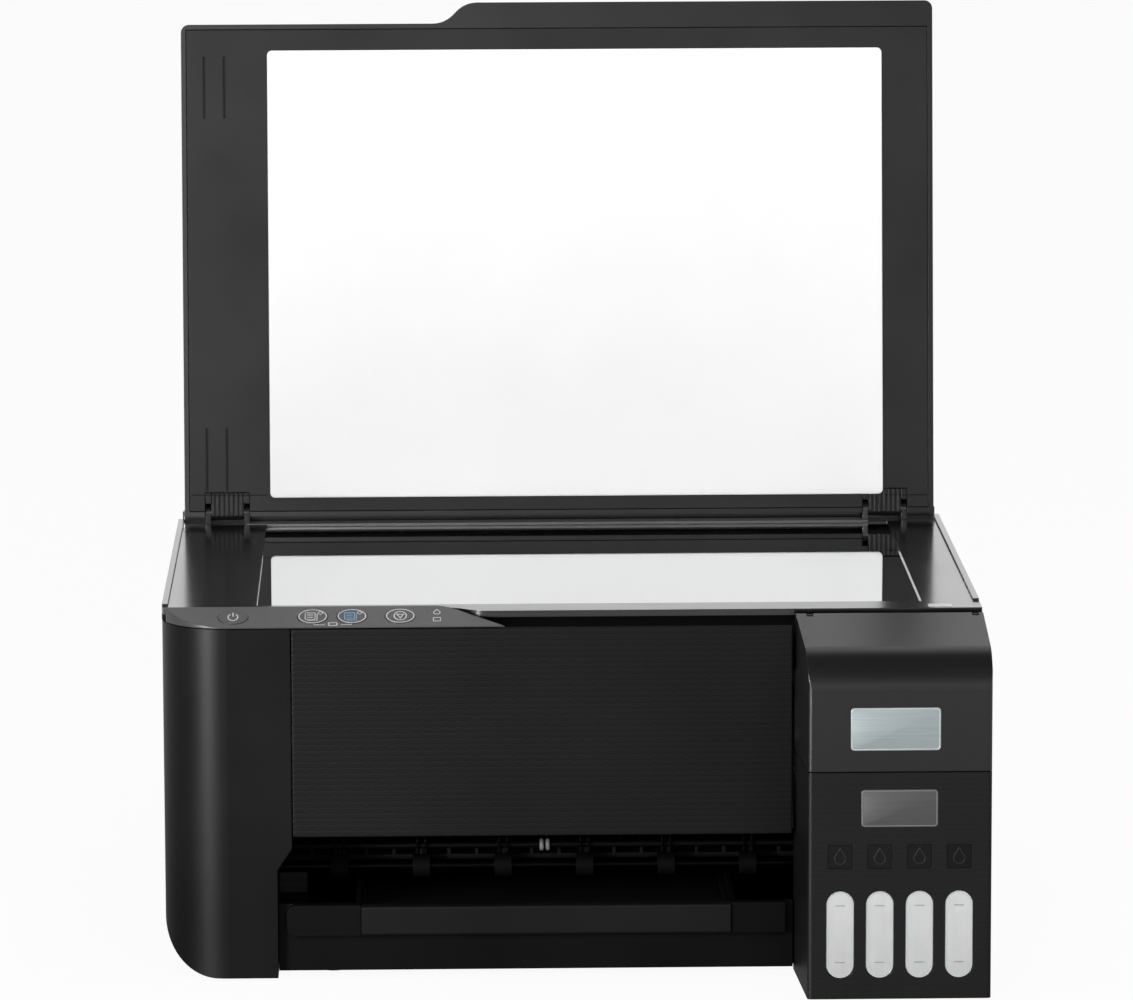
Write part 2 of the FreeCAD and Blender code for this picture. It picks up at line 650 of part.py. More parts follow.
def left_side_cover():
    """Left column, left wall and the cheek beside the paper exit."""
    column_rear = column_front + column_depth
    column = prism("column", "XY", [(left, column_front, corner_round), (column_right, column_front),
                                    (column_right, column_rear), (left, column_rear)],
                   (underside, front_top))
    side = block("left_wall", (left, left + side_floor), (column_rear, inner_rear), (underside, seam_height))
    hollow = prism("column_hollow", "XY",
                   [(left + wall, column_front + wall, corner_round - wall),
                    (column_right - wall, column_front + wall), (column_right - wall, column_rear + 1),
                    (left + wall, column_rear + 1)], (underside + wall, front_top + 5))
    behind = block("left_hollow", (left + wall, column_right), (column_rear, rear),
                   (underside + wall, seam_height + 5))
    inside = cut("left_inside", fuse("left_hollows", hollow, behind),
                 side_corner("inner_edge", base_round - wall))
    notch = prism("exit_notch", "XZ", [(exit_left, 0), (exit_left, bevel_low), (column_right, bevel_high),
                                       (column_right + 5, bevel_high), (column_right + 5, 0)],
                  (column_front - 1, column_rear + 1))
    cheek = prism("exit_cheek", "XZ", [(exit_left - wall, underside), (exit_left, underside),
                                       (exit_left, bevel_low), (column_right, bevel_high),
                                       (column_right, bevel_high + wall * 1.5),
                                       (exit_left - wall, bevel_low + wall * 0.6)],
                  (column_front, column_front + cheek_depth))
    shell = cut("left_shell", fuse("left_outer", column, side), side_corner("outer_edge", base_round),
                inside, notch)
    return fuse("left_side_cover", shell, cheek)


def right_side_cover():
    """Right wall with its floor flange and the upright strip behind the tank unit."""
    start = tank_rear + seam
    upright = block("right_wall", (right - wall, right), (start, inner_rear), (underside, seam_height))
    flange = block("right_flange", (right - 16, right), (start, inner_rear), (underside, underside + wall))
    strip = block("right_strip", (right - wall, right), (start, panel_rear - swing_gap),
                  (seam_height - 1, base_top - seam))
    whole = fuse("right_whole", upright, flange, strip)

    def lower_edge(edge):
        box = edge.BoundBox
        lowest = abs(box.ZMax - underside.value) < 0.01
        return lowest and abs(box.XMin - right.value) < 0.01 and box.YLength > 1

    return soften("right_side_cover", whole, edge_round, lower_edge)


def rear_cover():
    """Back wall with sockets and vents, and the deck round the paper feed."""
    top = hopper_top - 2
    through = (rear - wall - 1, rear + 1)
    back = prism("back_wall", "XZ", [(left, underside, base_round), (right, underside, edge_round),
                                     (right, seam_height + 5), (left, seam_height + 5)], (rear - wall, rear))
    deck = prism("deck", "XZ", [(left, seam_height + slack), (right, seam_height + slack),
                                (right, top, tank_round), (left, top, tank_round)],
                 (scanner_rear + deck_gap, rear))
    hollow = block("deck_hollow", (left + wall, right - wall), (scanner_rear, rear - wall),
                   (seam_height - 1, top - wall))
    slot = block("feed_slot", (-hopper_half - 1, hopper_half + 1), (scanner_rear, rear - wall),
                 (top - wall - 1, top + 1))
    relief = block("hinge_relief", (-hopper_half - 10, hopper_half + 10), (scanner_rear, hinge_axis + 6),
                   (top - wall - 1, top + 1))
    inlet = block("inlet_gap", (inlet_centre - inlet_half - slack, inlet_centre + inlet_half + slack),
                  through, (inlet_height - inlet_tall - slack, inlet_height + inlet_tall + slack))
    usb = block("usb_gap", (usb_centre - usb_half - slack, usb_centre + usb_half + slack), through,
                (board_top - slack, board_top + usb_tall + slack))
    vents = [stadium("vent", vent_pitch * (step - 4.5), vent_half, vent_low, vent_high, through)
             for step in range(10)]
    return cut("rear_cover", fuse("rear_whole", back, deck), hollow, slot, relief, inlet, usb, *vents)


def front_panel():
    """Front panel, its lower return and the floor of the finger recess behind its top edge."""
    left_edge, right_edge = column_right + seam, tank_left - tank_draft - 1.2
    face = prism("panel_face", "XZ", [(left_edge, panel_low, edge_round), (right_edge, panel_low, edge_round),
                                      (right_edge, front_top), (left_edge, front_top)],
                 (panel_front, panel_front + panel_thick))
    back = panel_front + panel_thick
    recess = block("recess_floor", (left_edge, right_edge), (back - 0.1, panel_rear - swing_gap),
                   (front_top - recess_drop - wall, front_top - recess_drop))
    lip = block("panel_return", (left_edge + 1, right_edge - 1), (back - 0.1, back + 9),
                (panel_low, panel_low + wall))
    whole = fuse("panel_whole", face, recess, lip)
    return soften("front_panel", whole, fine_round, on_plane("y", panel_front))


def rubber_feet():
    """Four round feet, one of them under the tank unit."""
    places = ((left + 77.5, panel_front + 28.5, floor_low), (left + 47.5, rear - 23.5, floor_low),
              (right - 37.5, rear - 23.5, floor_low), (tank_middle, front + 23.5, underside))
    return group("rubber_feet", *[rod("foot", "z", (0, top), (x, y), foot_radius) for x, y, top in places])


def frame_screws():
    """Screws that hold the frame to the case floor."""
    screws = []
    seat = floor_top + plate
    for place in screw_places:
        head = rod("screw_head", "z", (seat, seat + 2), place, screw_radius * 2)
        shank = rod("screw_shank", "z", (floor_low + 0.1, seat + 1), place, screw_radius)
        screws.append(fuse("screw", head, shank))
    return group("frame_screws", *screws)


def main_frame():
    """Bent sheet steel: back plate with the paper gap, two side plates and their feet."""
    back = block("frame_back_plate", (frame_left, frame_right), (frame_back - plate, frame_back),
                 (floor_top, frame_top))
    arch = block("frame_arch", (-arch_half, arch_half), (frame_back - 5, frame_back + 5), (0, arch_top))
    sides = [block("frame_side", span, (frame_front, frame_back), (floor_top, frame_top - 22))
             for span in (plate_left, plate_right)]
    feet = [block("frame_foot", span, (frame_front + 20, frame_front + 110), (floor_top, floor_top + plate))
            for span in ((frame_left, frame_left + 14), (frame_right - 14, frame_right))]
    idler_pin = rod("idler_gear_pin", "x", (gear_span[0] - 1, frame_left + 1), (idler_axis, roller_height),
                    eject_shaft)
    pulley_pin = rod("pulley_pin", "y", (belt_front - 1.5, frame_back), (idler_pulley_x, pulley_height),
                     motor_shaft)
    across = (frame_left - 1, frame_right + 1)
    bores = [rod("feed_bore", "x", across, (feed_axis, roller_height), journal + bearing),
             rod("eject_bore", "x", across, (eject_axis, roller_height), eject_shaft + bearing),
             rod("star_bore", "x", across, (eject_axis, star_height), star_shaft + bearing),
             rod("rail_bore", "x", across, (rail_axis, rail_height), rail_radius + press),
             rod("feed_motor_bore", "x", (frame_left - 1, frame_left + 5), (pinion_axis, pinion_height),
                 motor_shaft + 0.5),
             rod("carriage_motor_bore", "y", (frame_back - 5, frame_back + 1),
                 (motor_pulley_x, pulley_height), motor_shaft + 0.5)]
    bores += [rod("foot_bore", "z", (floor_top - 1, floor_top + 5), place, screw_radius + screw_play)
              for place in screw_places]
    sheets = fuse("frame_sheets", cut("frame_back_open", back, arch), *sides, *feet)
    return fuse("main_frame", cut("frame_bored", sheets, *bores), idler_pin, pulley_pin)


def carriage_rail():
    return rod("carriage_rail", "x", (frame_left, frame_right), (rail_axis, rail_height), rail_radius)


def carriage():
    """Print head holder on its rail, with a clip round the belt."""
    x = (carriage_home - carriage_half, carriage_home + carriage_half)
    body = block("holder", x, (carriage_front, carriage_back), (carriage_low, carriage_top))
    well = block("holder_well", (x[0] + wall, x[1] - wall), (carriage_front + wall, carriage_back - wall),
                 (carriage_low + 12, carriage_top + 1))
    bridge = block("bridge", x, (carriage_back - 1, rail_axis), (rail_height - 6, rail_height + 6))
    sleeve = rod("sleeve", "x", x, (rail_axis, rail_height), rail_radius + 3.5)
    strand = pulley_height - pulley_radius - slack - belt_thick
    clip = block("belt_clip", (carriage_home - 6, carriage_home + 6),
                 (rail_axis, belt_front + belt_width + 1.5), (rail_height + 2, strand + 3.5))
    bore = rod("rail_sleeve_bore", "x", (x[0] - 1, x[1] + 1), (rail_axis, rail_height), rail_radius + bearing)
    slot = block("belt_slot", x, (belt_front - slack, belt_front + belt_width + slack),
                 (strand - slack, strand + belt_thick + slack))
    whole = fuse("carriage_whole", cut("holder_open", body, well), bridge, sleeve, clip)
    return cut("carriage", whole, bore, slot)


def print_head():
    """Nozzle block under the carriage."""
    body = block("nozzle_block", (carriage_home - 22, carriage_home + 22),
                 (carriage_front + 12, carriage_front + 52), (head_low + 1, carriage_low))
    face = block("nozzle_plate", (carriage_home - 19, carriage_home + 19),
                 (carriage_front + 16, carriage_front + 48), (head_low, head_low + 1))
    return fuse("print_head", body, face)


def carriage_motor():
    """Carriage motor behind the frame, its shaft through the back plate."""
    centre = (motor_pulley_x, pulley_height)
    can = rod("motor_can", "y", (frame_back, frame_back + 28), centre, 14)
    cap = rod("motor_cap", "y", (frame_back + 27, frame_back + 31), centre, 5)
    shaft = rod("motor_axle", "y", (belt_front - 1.5, frame_back + 1), centre, motor_shaft)
    return fuse("carriage_motor", can, cap, shaft)


def pulley(label, x):
    """Flanged belt pulley."""
    start, end = belt_front - 1, belt_front + belt_width + 1
    drum = rod(label + "_drum", "y", (start, end), (x, pulley_height), pulley_radius)
    rims = [rod(label + "_rim", "y", span, (x, pulley_height), pulley_radius + 1.6)
            for span in ((start, start + 0.7), (end - 0.7, end))]
    bore = rod(label + "_bore", "y", (start - 1, end + 1), (x, pulley_height), motor_shaft + bearing)
    return cut(label, fuse(label + "_whole", drum, *rims), bore)


def belt_loop(name, radius, along):
    """Solid with the outline of a belt round the two pulleys."""
    middle = block(name + "_middle", (idler_pulley_x, motor_pulley_x), along,
                   (pulley_height - radius, pulley_height + radius))
    ends = [rod(name + "_end", "y", along, (x, pulley_height), radius)
            for x in (idler_pulley_x, motor_pulley_x)]
    return fuse(name, middle, *ends)


def carriage_belt():
    inner = pulley_radius + slack
    along = (belt_front, belt_front + belt_width)
    return cut("carriage_belt", belt_loop("belt_outer", inner + belt_thick, along),
               belt_loop("belt_inner", inner, (belt_front - 1, belt_front + belt_width + 1)))


def platen():
    """Ribbed paper rest under the print head."""
    start, end = frame_left + plate + 0.2, carriage_home - carriage_half + 8.8
    along = (eject_axis + ring_radius + 2.8, feed_axis - feed_radius - 4)
    deck = block("platen_deck", (start, end), along, (platen_top - 9, platen_top - 3))
    pitch = (end - start) / 21
    ribs = [block("platen_rib", (start + pitch * step, start + pitch * step + 1.6), along,
                  (platen_top - 4, platen_top)) for step in range(1, 21)]
    return fuse("platen", deck, *ribs)


def pinch_rollers():
    """Four pressing rollers over the feed roller, in one holder."""
    height = roller_height + feed_radius + pinch_radius + slack
    axis = feed_axis + 2
    pin = 1.5
    holder = [block("pinch_plate", (tray_centre - pinch_half, tray_centre + pinch_half),
                    (axis - 6, frame_back - plate - 0.2), (arch_top + 0.5, arch_top + 2.5))]
    bores, rollers = [], []
    for step in range(4):
        x = tray_centre + pinch_half * (step - 1.5) * 0.53
        tyre = rod("pinch_tyre", "x", (x - 10, x + 10), (axis, height), pinch_radius)
        axle = rod("pinch_axle", "x", (x - 13, x + 13), (axis, height), pin)
        rollers.append(fuse("pinch_roller", tyre, axle))
        for start in (x - 13, x + 10.5):
            holder.append(block("pinch_arm", (start, start + 2.5), (axis - 3, axis + 3),
                                (height - 3, arch_top + 1)))
        bores.append(rod("pinch_bore", "x", (x - 14, x + 14), (axis, height), bearing + pin))
    frame = cut("pinch_holder", fuse("pinch_holder_whole", *holder), *bores)
    return group("pinch_rollers", frame, *rollers)


def capping_station():
    """Cap, wiper and pump block under the parked carriage."""
    start = carriage_home - carriage_half + 9
    deck = head_low - 10
    base = block("cap_base", (start, start + 48), (carriage_front + 2, carriage_back - 2), (floor_top, deck))
    rim = block("cap_rim", (start + 3, start + 45), (carriage_front + 10, carriage_front + 54),
                (deck - 1, head_low - 0.5))
    well = block("cap_well", (start + 5, start + 43), (carriage_front + 12, carriage_front + 52),
                 (deck + 4, head_low))
    wiper = block("cap_wiper", (start + 4, start + 10), (carriage_front + 57, carriage_front + 59),
                  (deck - 1, head_low - 1))
    return fuse("capping_station", base, cut("cap_open", rim, well), wiper)


def feed_motor():
    """Paper feed motor inside the left frame plate."""
    centre = (pinion_axis, pinion_height)
    inner = frame_left + plate
    can = rod("feed_can", "x", (inner, inner + 27), centre, 12.5)
    shaft = rod("feed_axle", "x", (gear_span[0] - 1, inner + 1), centre, motor_shaft)
    return fuse("feed_motor", can, shaft)


def gear(label, teeth, centre, first_tooth, bore):
    """Spur gear across X with straight-flanked teeth inside the involute."""
    module = gear_module.value
    count = int(teeth.value)
    pitch = module * count / 2
    base = pitch * math.cos(math.radians(20))
    root, tip = pitch - 1.25 * module, pitch + 0.9 * module
    half_tooth = math.pi / (2 * count) - 0.06 * module / pitch

    def spread(radius):
        turn = math.acos(min(1, base / radius))
        return half_tooth + math.tan(math.radians(20)) - math.radians(20) - (math.tan(turn) - turn)

    points = []
    for step in range(count):
        middle = math.radians(first_tooth) + 2 * math.pi * step / count
        for radius, side in ((root, -1), (max(base, root), -1), (pitch, -1), (tip, -1),
                             (tip, 1), (pitch, 1), (max(base, root), 1), (root, 1)):
            angle = middle + side * spread(max(base, radius))
            points.append(Vector(0, radius * math.cos(angle), radius * math.sin(angle)))
    face = Part.Face(Part.makePolygon(points + points[:1]))
    solid = face.extrude(Vector(gear_width.value, 0, 0))
    hole = Part.makeCylinder(bore.value, gear_width.value + 2, Vector(-1, 0, 0), Vector(1, 0, 0))
    item = doc.addObject("Part::Feature", label)
    item.Shape = solid.cut(hole)
    bind(item, "Placement.Base.x", gear_span[0])
    bind(item, "Placement.Base.y", centre[0])
    bind(item, "Placement.Base.z", centre[1])
    return item


def meshing_tooth(angle, teeth, tooth, other):
    """First tooth of a gear that meets another at an angle seen from the first."""
    gap = angle + 180 - (tooth - angle) * teeth.value / other.value
    return gap + 180 / other.value


def gear_train():
    """Feed gear, idler and eject gear in a row, and the pinion over the feed gear."""
    idler_tooth = meshing_tooth(180, feed_teeth, 0, idler_teeth)
    eject_tooth = meshing_tooth(180, idler_teeth, idler_tooth, eject_teeth)
    pinion_tooth = meshing_tooth(pinion_angle.value, feed_teeth, 0, pinion_teeth)
    return [gear("feed_gear", feed_teeth, (feed_axis, roller_height), 0, journal + press),
            gear("idler_gear", idler_teeth, (idler_axis, roller_height), idler_tooth, eject_shaft + bearing),
            gear("eject_gear", eject_teeth, (eject_axis, roller_height), eject_tooth, eject_shaft + press),
            gear("motor_pinion", pinion_teeth, (pinion_axis, pinion_height), pinion_tooth,
                 motor_shaft + bearing)]


def feed_roller():
    """Coated feed roller with its journals."""
    centre = (feed_axis, roller_height)
    barrel = rod("feed_barrel", "x", (plate_left[1] + 0.5, plate_right[0] - 0.5), centre, feed_radius)
    spindle = rod("feed_spindle", "x", (gear_span[0] - 2, frame_right + 1.5), centre, journal)
    return fuse("feed_roller", barrel, spindle)


def eject_roller():
    """Eject shaft with six rubber rings."""
    centre = (eject_axis, roller_height)
    shaft = rod("eject_spindle", "x", (gear_span[0] - 2, frame_right + 1.5), centre, eject_shaft)
    rings = [rod("eject_ring", "x", (x - ring_width / 2, x + ring_width / 2), centre, ring_radius)
             for x in ring_places]
    return fuse("eject_roller", shaft, *rings)


def star_wheels():
    """Axle with a pair of toothed discs over each rubber ring."""
    count = int(star_teeth.value)
    shaft = Part.makeCylinder(star_shaft.value, frame_right.value - frame_left.value + 3,
                              Vector(frame_left.value - 1.5, 0, 0), Vector(1, 0, 0))
    wheels = []
    for place in ring_places:
        for shift in (-2.3, 1.5):
            points = []
            for step in range(2 * count):
                radius = star_radius.value * (1 if step % 2 == 0 else 0.82)
                angle = math.pi * step / count
                points.append(Vector(place.value + shift, radius * math.cos(angle), radius * math.sin(angle)))
            wheels.append(Part.Face(Part.makePolygon(points + points[:1])).extrude(Vector(0.8, 0, 0)))
    item = doc.addObject("Part::Feature", "star_wheels")
    item.Shape = shaft.multiFuse(wheels)
    bind(item, "Placement.Base.y", eject_axis)
    bind(item, "Placement.Base.z", star_height)
    return item


def rear_feed_hopper():
    """Paper plane, lower guide and the two side plates that carry the scanner hinge."""
    inner = hopper_half - wall
    top = hopper_top - 2
    foot = rear - hopper_depth
    sheet_outline = [(plane_at(top), top), (plane_at(hopper_bend), hopper_bend), (hopper_end, guide_end),
                     (hopper_end, guide_end - wall),
                     (plane_at(hopper_bend) + 1.6, hopper_bend - wall - 0.2),
                     (plane_at(top) + wall * 1.05, top)]
    guide = prism("paper_guide", "YZ", sheet_outline, (-inner - 0.1, inner + 0.1))
    side_outline = [(foot, floor_top), (rear - wall - 3, floor_top), (rear - wall - 3, hopper_top),
                    (hinge_axis - 0.5, hopper_top), (scanner_rear + 1, hinge_height + pin_radius),
                    (scanner_rear + 1, seam_height - 0.5), (foot, hopper_bend + 4)]
    sides = [prism("hopper_side", "YZ", side_outline, span)
             for span in ((-hopper_half, -inner), (inner, hopper_half))]
    across = (-hopper_half - 1, hopper_half + 1)
    bores = [rod("load_bore", "x", across, (load_axis, load_axis_height), journal + bearing),
             rod("scanner_pin_bore", "x", across, (hinge_axis, hinge_height), pin_radius + press),
             rod("guard_bore", "x", across, (guard_axis, guard_height), guard_pivot + bearing)]
    return cut("rear_feed_hopper", fuse("hopper_whole", guide, *sides), *bores)


def scanner_hinge_pins():
    """Pins from the hopper's side plates into the scanner's knuckles."""
    inner = hopper_half - wall
    return group("scanner_hinge_pins",
                 *[rod("scanner_pin", "x", span, (hinge_axis, hinge_height), pin_radius)
                   for span in ((-hopper_half - 9, -inner), (inner, hopper_half + 9))])


def load_roller():
    """Load shaft with two rubber tyres at the foot of the hopper."""
    centre = (load_axis, load_axis_height)
    shaft = rod("load_spindle", "x", (-hopper_half - 3, hopper_half + 3), centre, journal)
    tyres = [rod("load_tyre", "x", (x - 13, x + 13), centre, load_radius)
             for x in (tray_centre - 45, tray_centre + 45)]
    return fuse("load_roller", shaft, *tyres)


def leaned(item, distance, height):
    """Set a piece drawn along the paper plane: distance behind the plane, foot at a height."""
    item.Placement = Placement(Vector(), Rotation(Vector(1, 0, 0), -1))
    bind(item, "Placement.Rotation.Angle", -lean)
    bind(item, "Placement.Base.y", plane_at(height) + as_size(distance) * trig("cos", lean))
    bind(item, "Placement.Base.z", as_size(height) - as_size(distance) * trig("sin", lean))
    return item


def paper_support():
    """Paper support that slides up behind the hopper's paper plane."""
    foot = hopper_top + 1 - support_length * trig("cos", lean)
    body = prism("support_sheet", "XZ", [(-support_half, 0), (support_half, 0),
                                         (support_half, support_length, 8),
                                         (-support_half, support_length, 8)], (0, support_thick))
    low, high = support_length - 8, support_length - 2
    grip = prism("support_grip", "XZ", [(-18, low, 2), (18, low, 2), (18, high, 2), (-18, high, 2)],
                 (support_thick - 0.8, support_thick + 1))
    return leaned(cut("paper_support", body, grip), wall + slack, foot)


def edge_guide():
    """Fin that holds the paper's edge, standing on the paper plane."""
    inside = guide_inset - hopper_half
    fin = prism("edge_fin", "YZ", [(-5.4, 0), (-slack, -3), (-slack, 13), (-5.4, 13, 2)], (inside, inside + 2))
    foot = block("edge_foot", (inside - 14, inside + 2), (-1.8, -slack), (-3, 8))
    return leaned(fuse("edge_guide", fin, foot), 0, hopper_top - 16)


def feeder_guard():
    """Flap over the paper slot."""
    inner = hopper_half - wall - slack
    centre = (guard_axis, guard_height)
    barrel = rod("guard_barrel", "x", (-inner, inner), centre, guard_pivot + 0.5)
    pivots = rod("guard_pivots", "x", (-hopper_half + 0.2, hopper_half - 0.2), centre, guard_pivot)
    flap = block("guard_flap", (-inner, inner), (guard_axis, guard_axis + guard_length),
                 (guard_height, guard_height + guard_pivot + 0.5))
    return fuse("feeder_guard", barrel, pivots, flap)


def output_tray():
    """First stage of the output tray, with side lips that guide the extension."""
    along = (apron_front + 3.5, apron_front + 3.5 + tray_length)
    base = block("tray_base", (tray_left, tray_right), along, (tray_low, tray_low + tray_plate))
    lips = [block("tray_side", span, along, (tray_low, tray_low + tray_lip))
            for span in ((tray_left, tray_left + lip_thick), (tray_right - lip_thick, tray_right))]
    return fuse("output_tray", base, *lips)


bar_front = panel_front + bar_set
stopper_axis = bar_front + bar_depth + 5
stopper_height = tray_low + tray_plate * 2 + slack + 2
stopper_span = (tray_centre - stopper_width / 2, tray_centre + stopper_width / 2)
stopper_lugs = ((stopper_span[0] - slack - 3, stopper_span[0] - slack),
                (stopper_span[1] + slack, stopper_span[1] + slack + 3))


def tray_extension():
    """Second stage, whose front bar closes the tray slot."""
    low = tray_low + tray_plate + slack
    top = low + tray_plate
    inset = lip_thick + slack
    bar_rear = bar_front + bar_depth
    plate_part = block("extension_sheet", (tray_left + inset, tray_right - inset),
                       (bar_rear - 0.1, bar_rear + extension_length), (low, top))
    bar_low, bar_high = ledge_low + bar_inset, ledge_high - bar_inset
    bar = prism("tray_bar", "YZ", [(bar_front, bar_low, edge_round), (bar_rear, bar_low),
                                   (bar_rear, bar_high), (bar_front, bar_high, edge_round)],
                (tray_left, tray_right))
    lugs = [block("stopper_lug", span, (stopper_axis - 2.2, stopper_axis + 2.2), (top - 0.1, top + 4.4))
            for span in stopper_lugs]
    bore = rod("stopper_bore", "x", (stopper_lugs[0][0] - 1, stopper_lugs[1][1] + 1),
               (stopper_axis, stopper_height), stopper_pivot + bearing)
    return fuse("tray_extension", plate_part, bar, cut("stopper_lugs", group("lug_pair", *lugs), bore))


def paper_stopper():
    """Flap that folds up at the end of the tray."""
    centre = (stopper_axis, stopper_height)
    barrel = rod("stopper_barrel", "x", stopper_span, centre, stopper_pivot + 0.5)
    pivots = rod("stopper_pivots", "x", (stopper_lugs[0][0] + 0.2, stopper_lugs[1][1] - 0.2), centre,
                 stopper_pivot)
    far = stopper_axis + stopper_length
    flap = prism("stopper_flap", "XY", [(stopper_span[0], stopper_axis), (stopper_span[1], stopper_axis),
                                        (stopper_span[1], far, 5), (stopper_span[0], far, 5)],
                 (stopper_height - 0.5, stopper_height + 1.5))
    return fuse("paper_stopper", barrel, pivots, flap)


def tank_plan(name, inset, span):
    """Plan of the tank unit, its left face leaning with depth."""
    outline = [(tank_left + inset, front + inset, tank_round), (right - inset, front + inset, tank_round),
               (right - inset, tank_rear), (tank_left - tank_draft + inset, tank_rear)]
    return prism(name, "XY", outline, span)


def tank_housing():
    """Open-backed housing with four windows, a deck round the necks and the cover's hinge ears."""
    top = cover_low - seam
    deck = tank_top + slack
    outer = tank_plan("housing_outer", as_size(0), (underside, top))
    hollow = tank_plan("housing_hollow", wall, (underside + wall, top + 1))
    windows = [stadium("window_slot", x, window_half, window_low, window_high, (front - 1, front + wall + 0.5))
               for x in tank_places]
    shell = cut("housing_shell", outer, hollow, *windows)
    plate_part = block("tank_deck", (tank_left + wall - 0.1, right - wall + 0.1),
                       (front + wall - 0.1, tank_rear), (deck, deck + 2))
    holes = [rod("neck_hole", "z", (deck - 1, deck + 5), (x, neck_line), neck_radius + slack)
             for x in tank_places]
    ears = []
    for face, way in cover_sides:
        span = (face + slack, face + slack + ear_thick) if way > 0 else (face - slack - ear_thick, face - slack)
        post = block("cover_post", span, (cover_axis - ear_round, cover_axis + ear_round),
                     (deck + 1, cover_hinge))
        knuckle = rod("cover_knuckle", "x", span, (cover_axis, cover_hinge), ear_round)
        bore = rod("cover_bore", "x", (span[0] - 1, span[1] + 1), (cover_axis, cover_hinge),
                   trunnion + bearing)
        ears.append(cut("cover_ear", fuse("cover_ear_whole", post, knuckle), bore))
    mark_low = window_high + mark_rise
    squares = [block("mark_square", (x - mark_half, x + mark_half), (front - 1, front + mark_depth),
                     (mark_low, mark_low + mark_height)) for x in tank_places]
    whole = fuse("housing_whole", shell, cut("tank_deck_open", plate_part, *holes), *ears)
    return cut("tank_housing", whole, *squares)


def ink_tanks():
    """Four filled tanks with a window lens at the front and a filler neck on top."""
    tanks = []
    start = front + wall + slack
    for x in tank_places:
        body = block("tank_body", (x - tank_half, x + tank_half), (start, tank_rear - tank_short),
                     (underside + wall + slack, tank_top))
        lens = stadium("tank_lens", x, window_half - slack, window_low + slack, window_high - slack,
                       (front + 0.3, start + 1))
        neck = rod("tank_neck", "z", (tank_top - 1, neck_top), (x, neck_line), neck_radius)
        bore = rod("tank_bore", "z", (neck_top - 5, neck_top + 1), (x, neck_line), neck_bore)
        tanks.append(cut("ink_tank", fuse("tank_whole", body, lens, neck), bore))
    return group("ink_tanks", *tanks)


def tank_caps():
    """Caps of the four tanks, each with a plug in its neck."""
    caps = []
    seat = neck_top + 0.2
    top = seat + cap_height
    for name, x in zip(("black", "yellow", "magenta", "cyan"), tank_places):
        label = "tank_cap_" + name
        disc = rod(label + "_disc", "z", (seat, top), (x, neck_line), cap_radius)
        plug = rod(label + "_plug", "z", (seat - 4, seat + 1), (x, neck_line), neck_bore - 0.15)
        tab = block(label + "_tab", (x - 1.5, x + 1.5), (neck_line - cap_radius - 4, neck_line), (top - 2, top))
        caps.append(fuse(label, disc, plug, tab))
    return caps


def ink_tank_cover():
    """Hinged hood over the tank caps."""
    fall = trig("tan", cover_slope)
    shoulder = cover_top - (cover_rear - front) * fall
    profile = [(front, cover_low), (cover_rear, cover_low), (cover_rear, cover_top, ear_round + 0.3),
               (front, shoulder, cover_round)]
    hood = prism("hood_profile", "YZ", profile, (tank_left - tank_draft - 1, right + 1))
    plan = tank_plan("hood_plan", as_size(0), (cover_low - 1, cover_top + 1))
    inner = [(front + wall, cover_low - 1), (cover_rear + 1, cover_low - 1), (cover_rear + 1, cover_top - wall),
             (front + wall, shoulder - wall, cover_round - wall)]
    hollow = prism("hood_hollow", "YZ", inner, (tank_left + wall, right - wall))
    shell = cut("hood_shell", common("hood_outer", hood, plan), hollow)
    tools, pivots = [], []
    for face, way in cover_sides:
        near = face + slack * way
        deep = face + (slack * 2 + ear_thick) * way
        span = (face, deep) if way > 0 else (deep, face)
        tools.append(block("ear_gap", span, (cover_axis - ear_round - 0.6, cover_rear + 1),
                           (cover_low, cover_top + 1)))
        pin = (face - 1, near + ear_thick) if way > 0 else (near - ear_thick, face + 1)
        pivots.append(rod("cover_pivot", "x", pin, (cover_axis, cover_hinge), trunnion))
    return fuse("ink_tank_cover", cut("hood_gapped", shell, *tools), *pivots)


def scanner_plan(name, span):
    """Plan of the bezel: the right part reaches further forward, joined by an S curve."""
    lip = panel_rear - lip_reach
    outline = [(left, scanner_rear), (left, panel_rear, 8), (panel_end + 5, panel_rear, curve_round * 0.8),
               (panel_end + 15, lip, curve_round * 0.8), (right, lip), (right, scanner_rear)]
    return prism(name, "XY", outline, span)


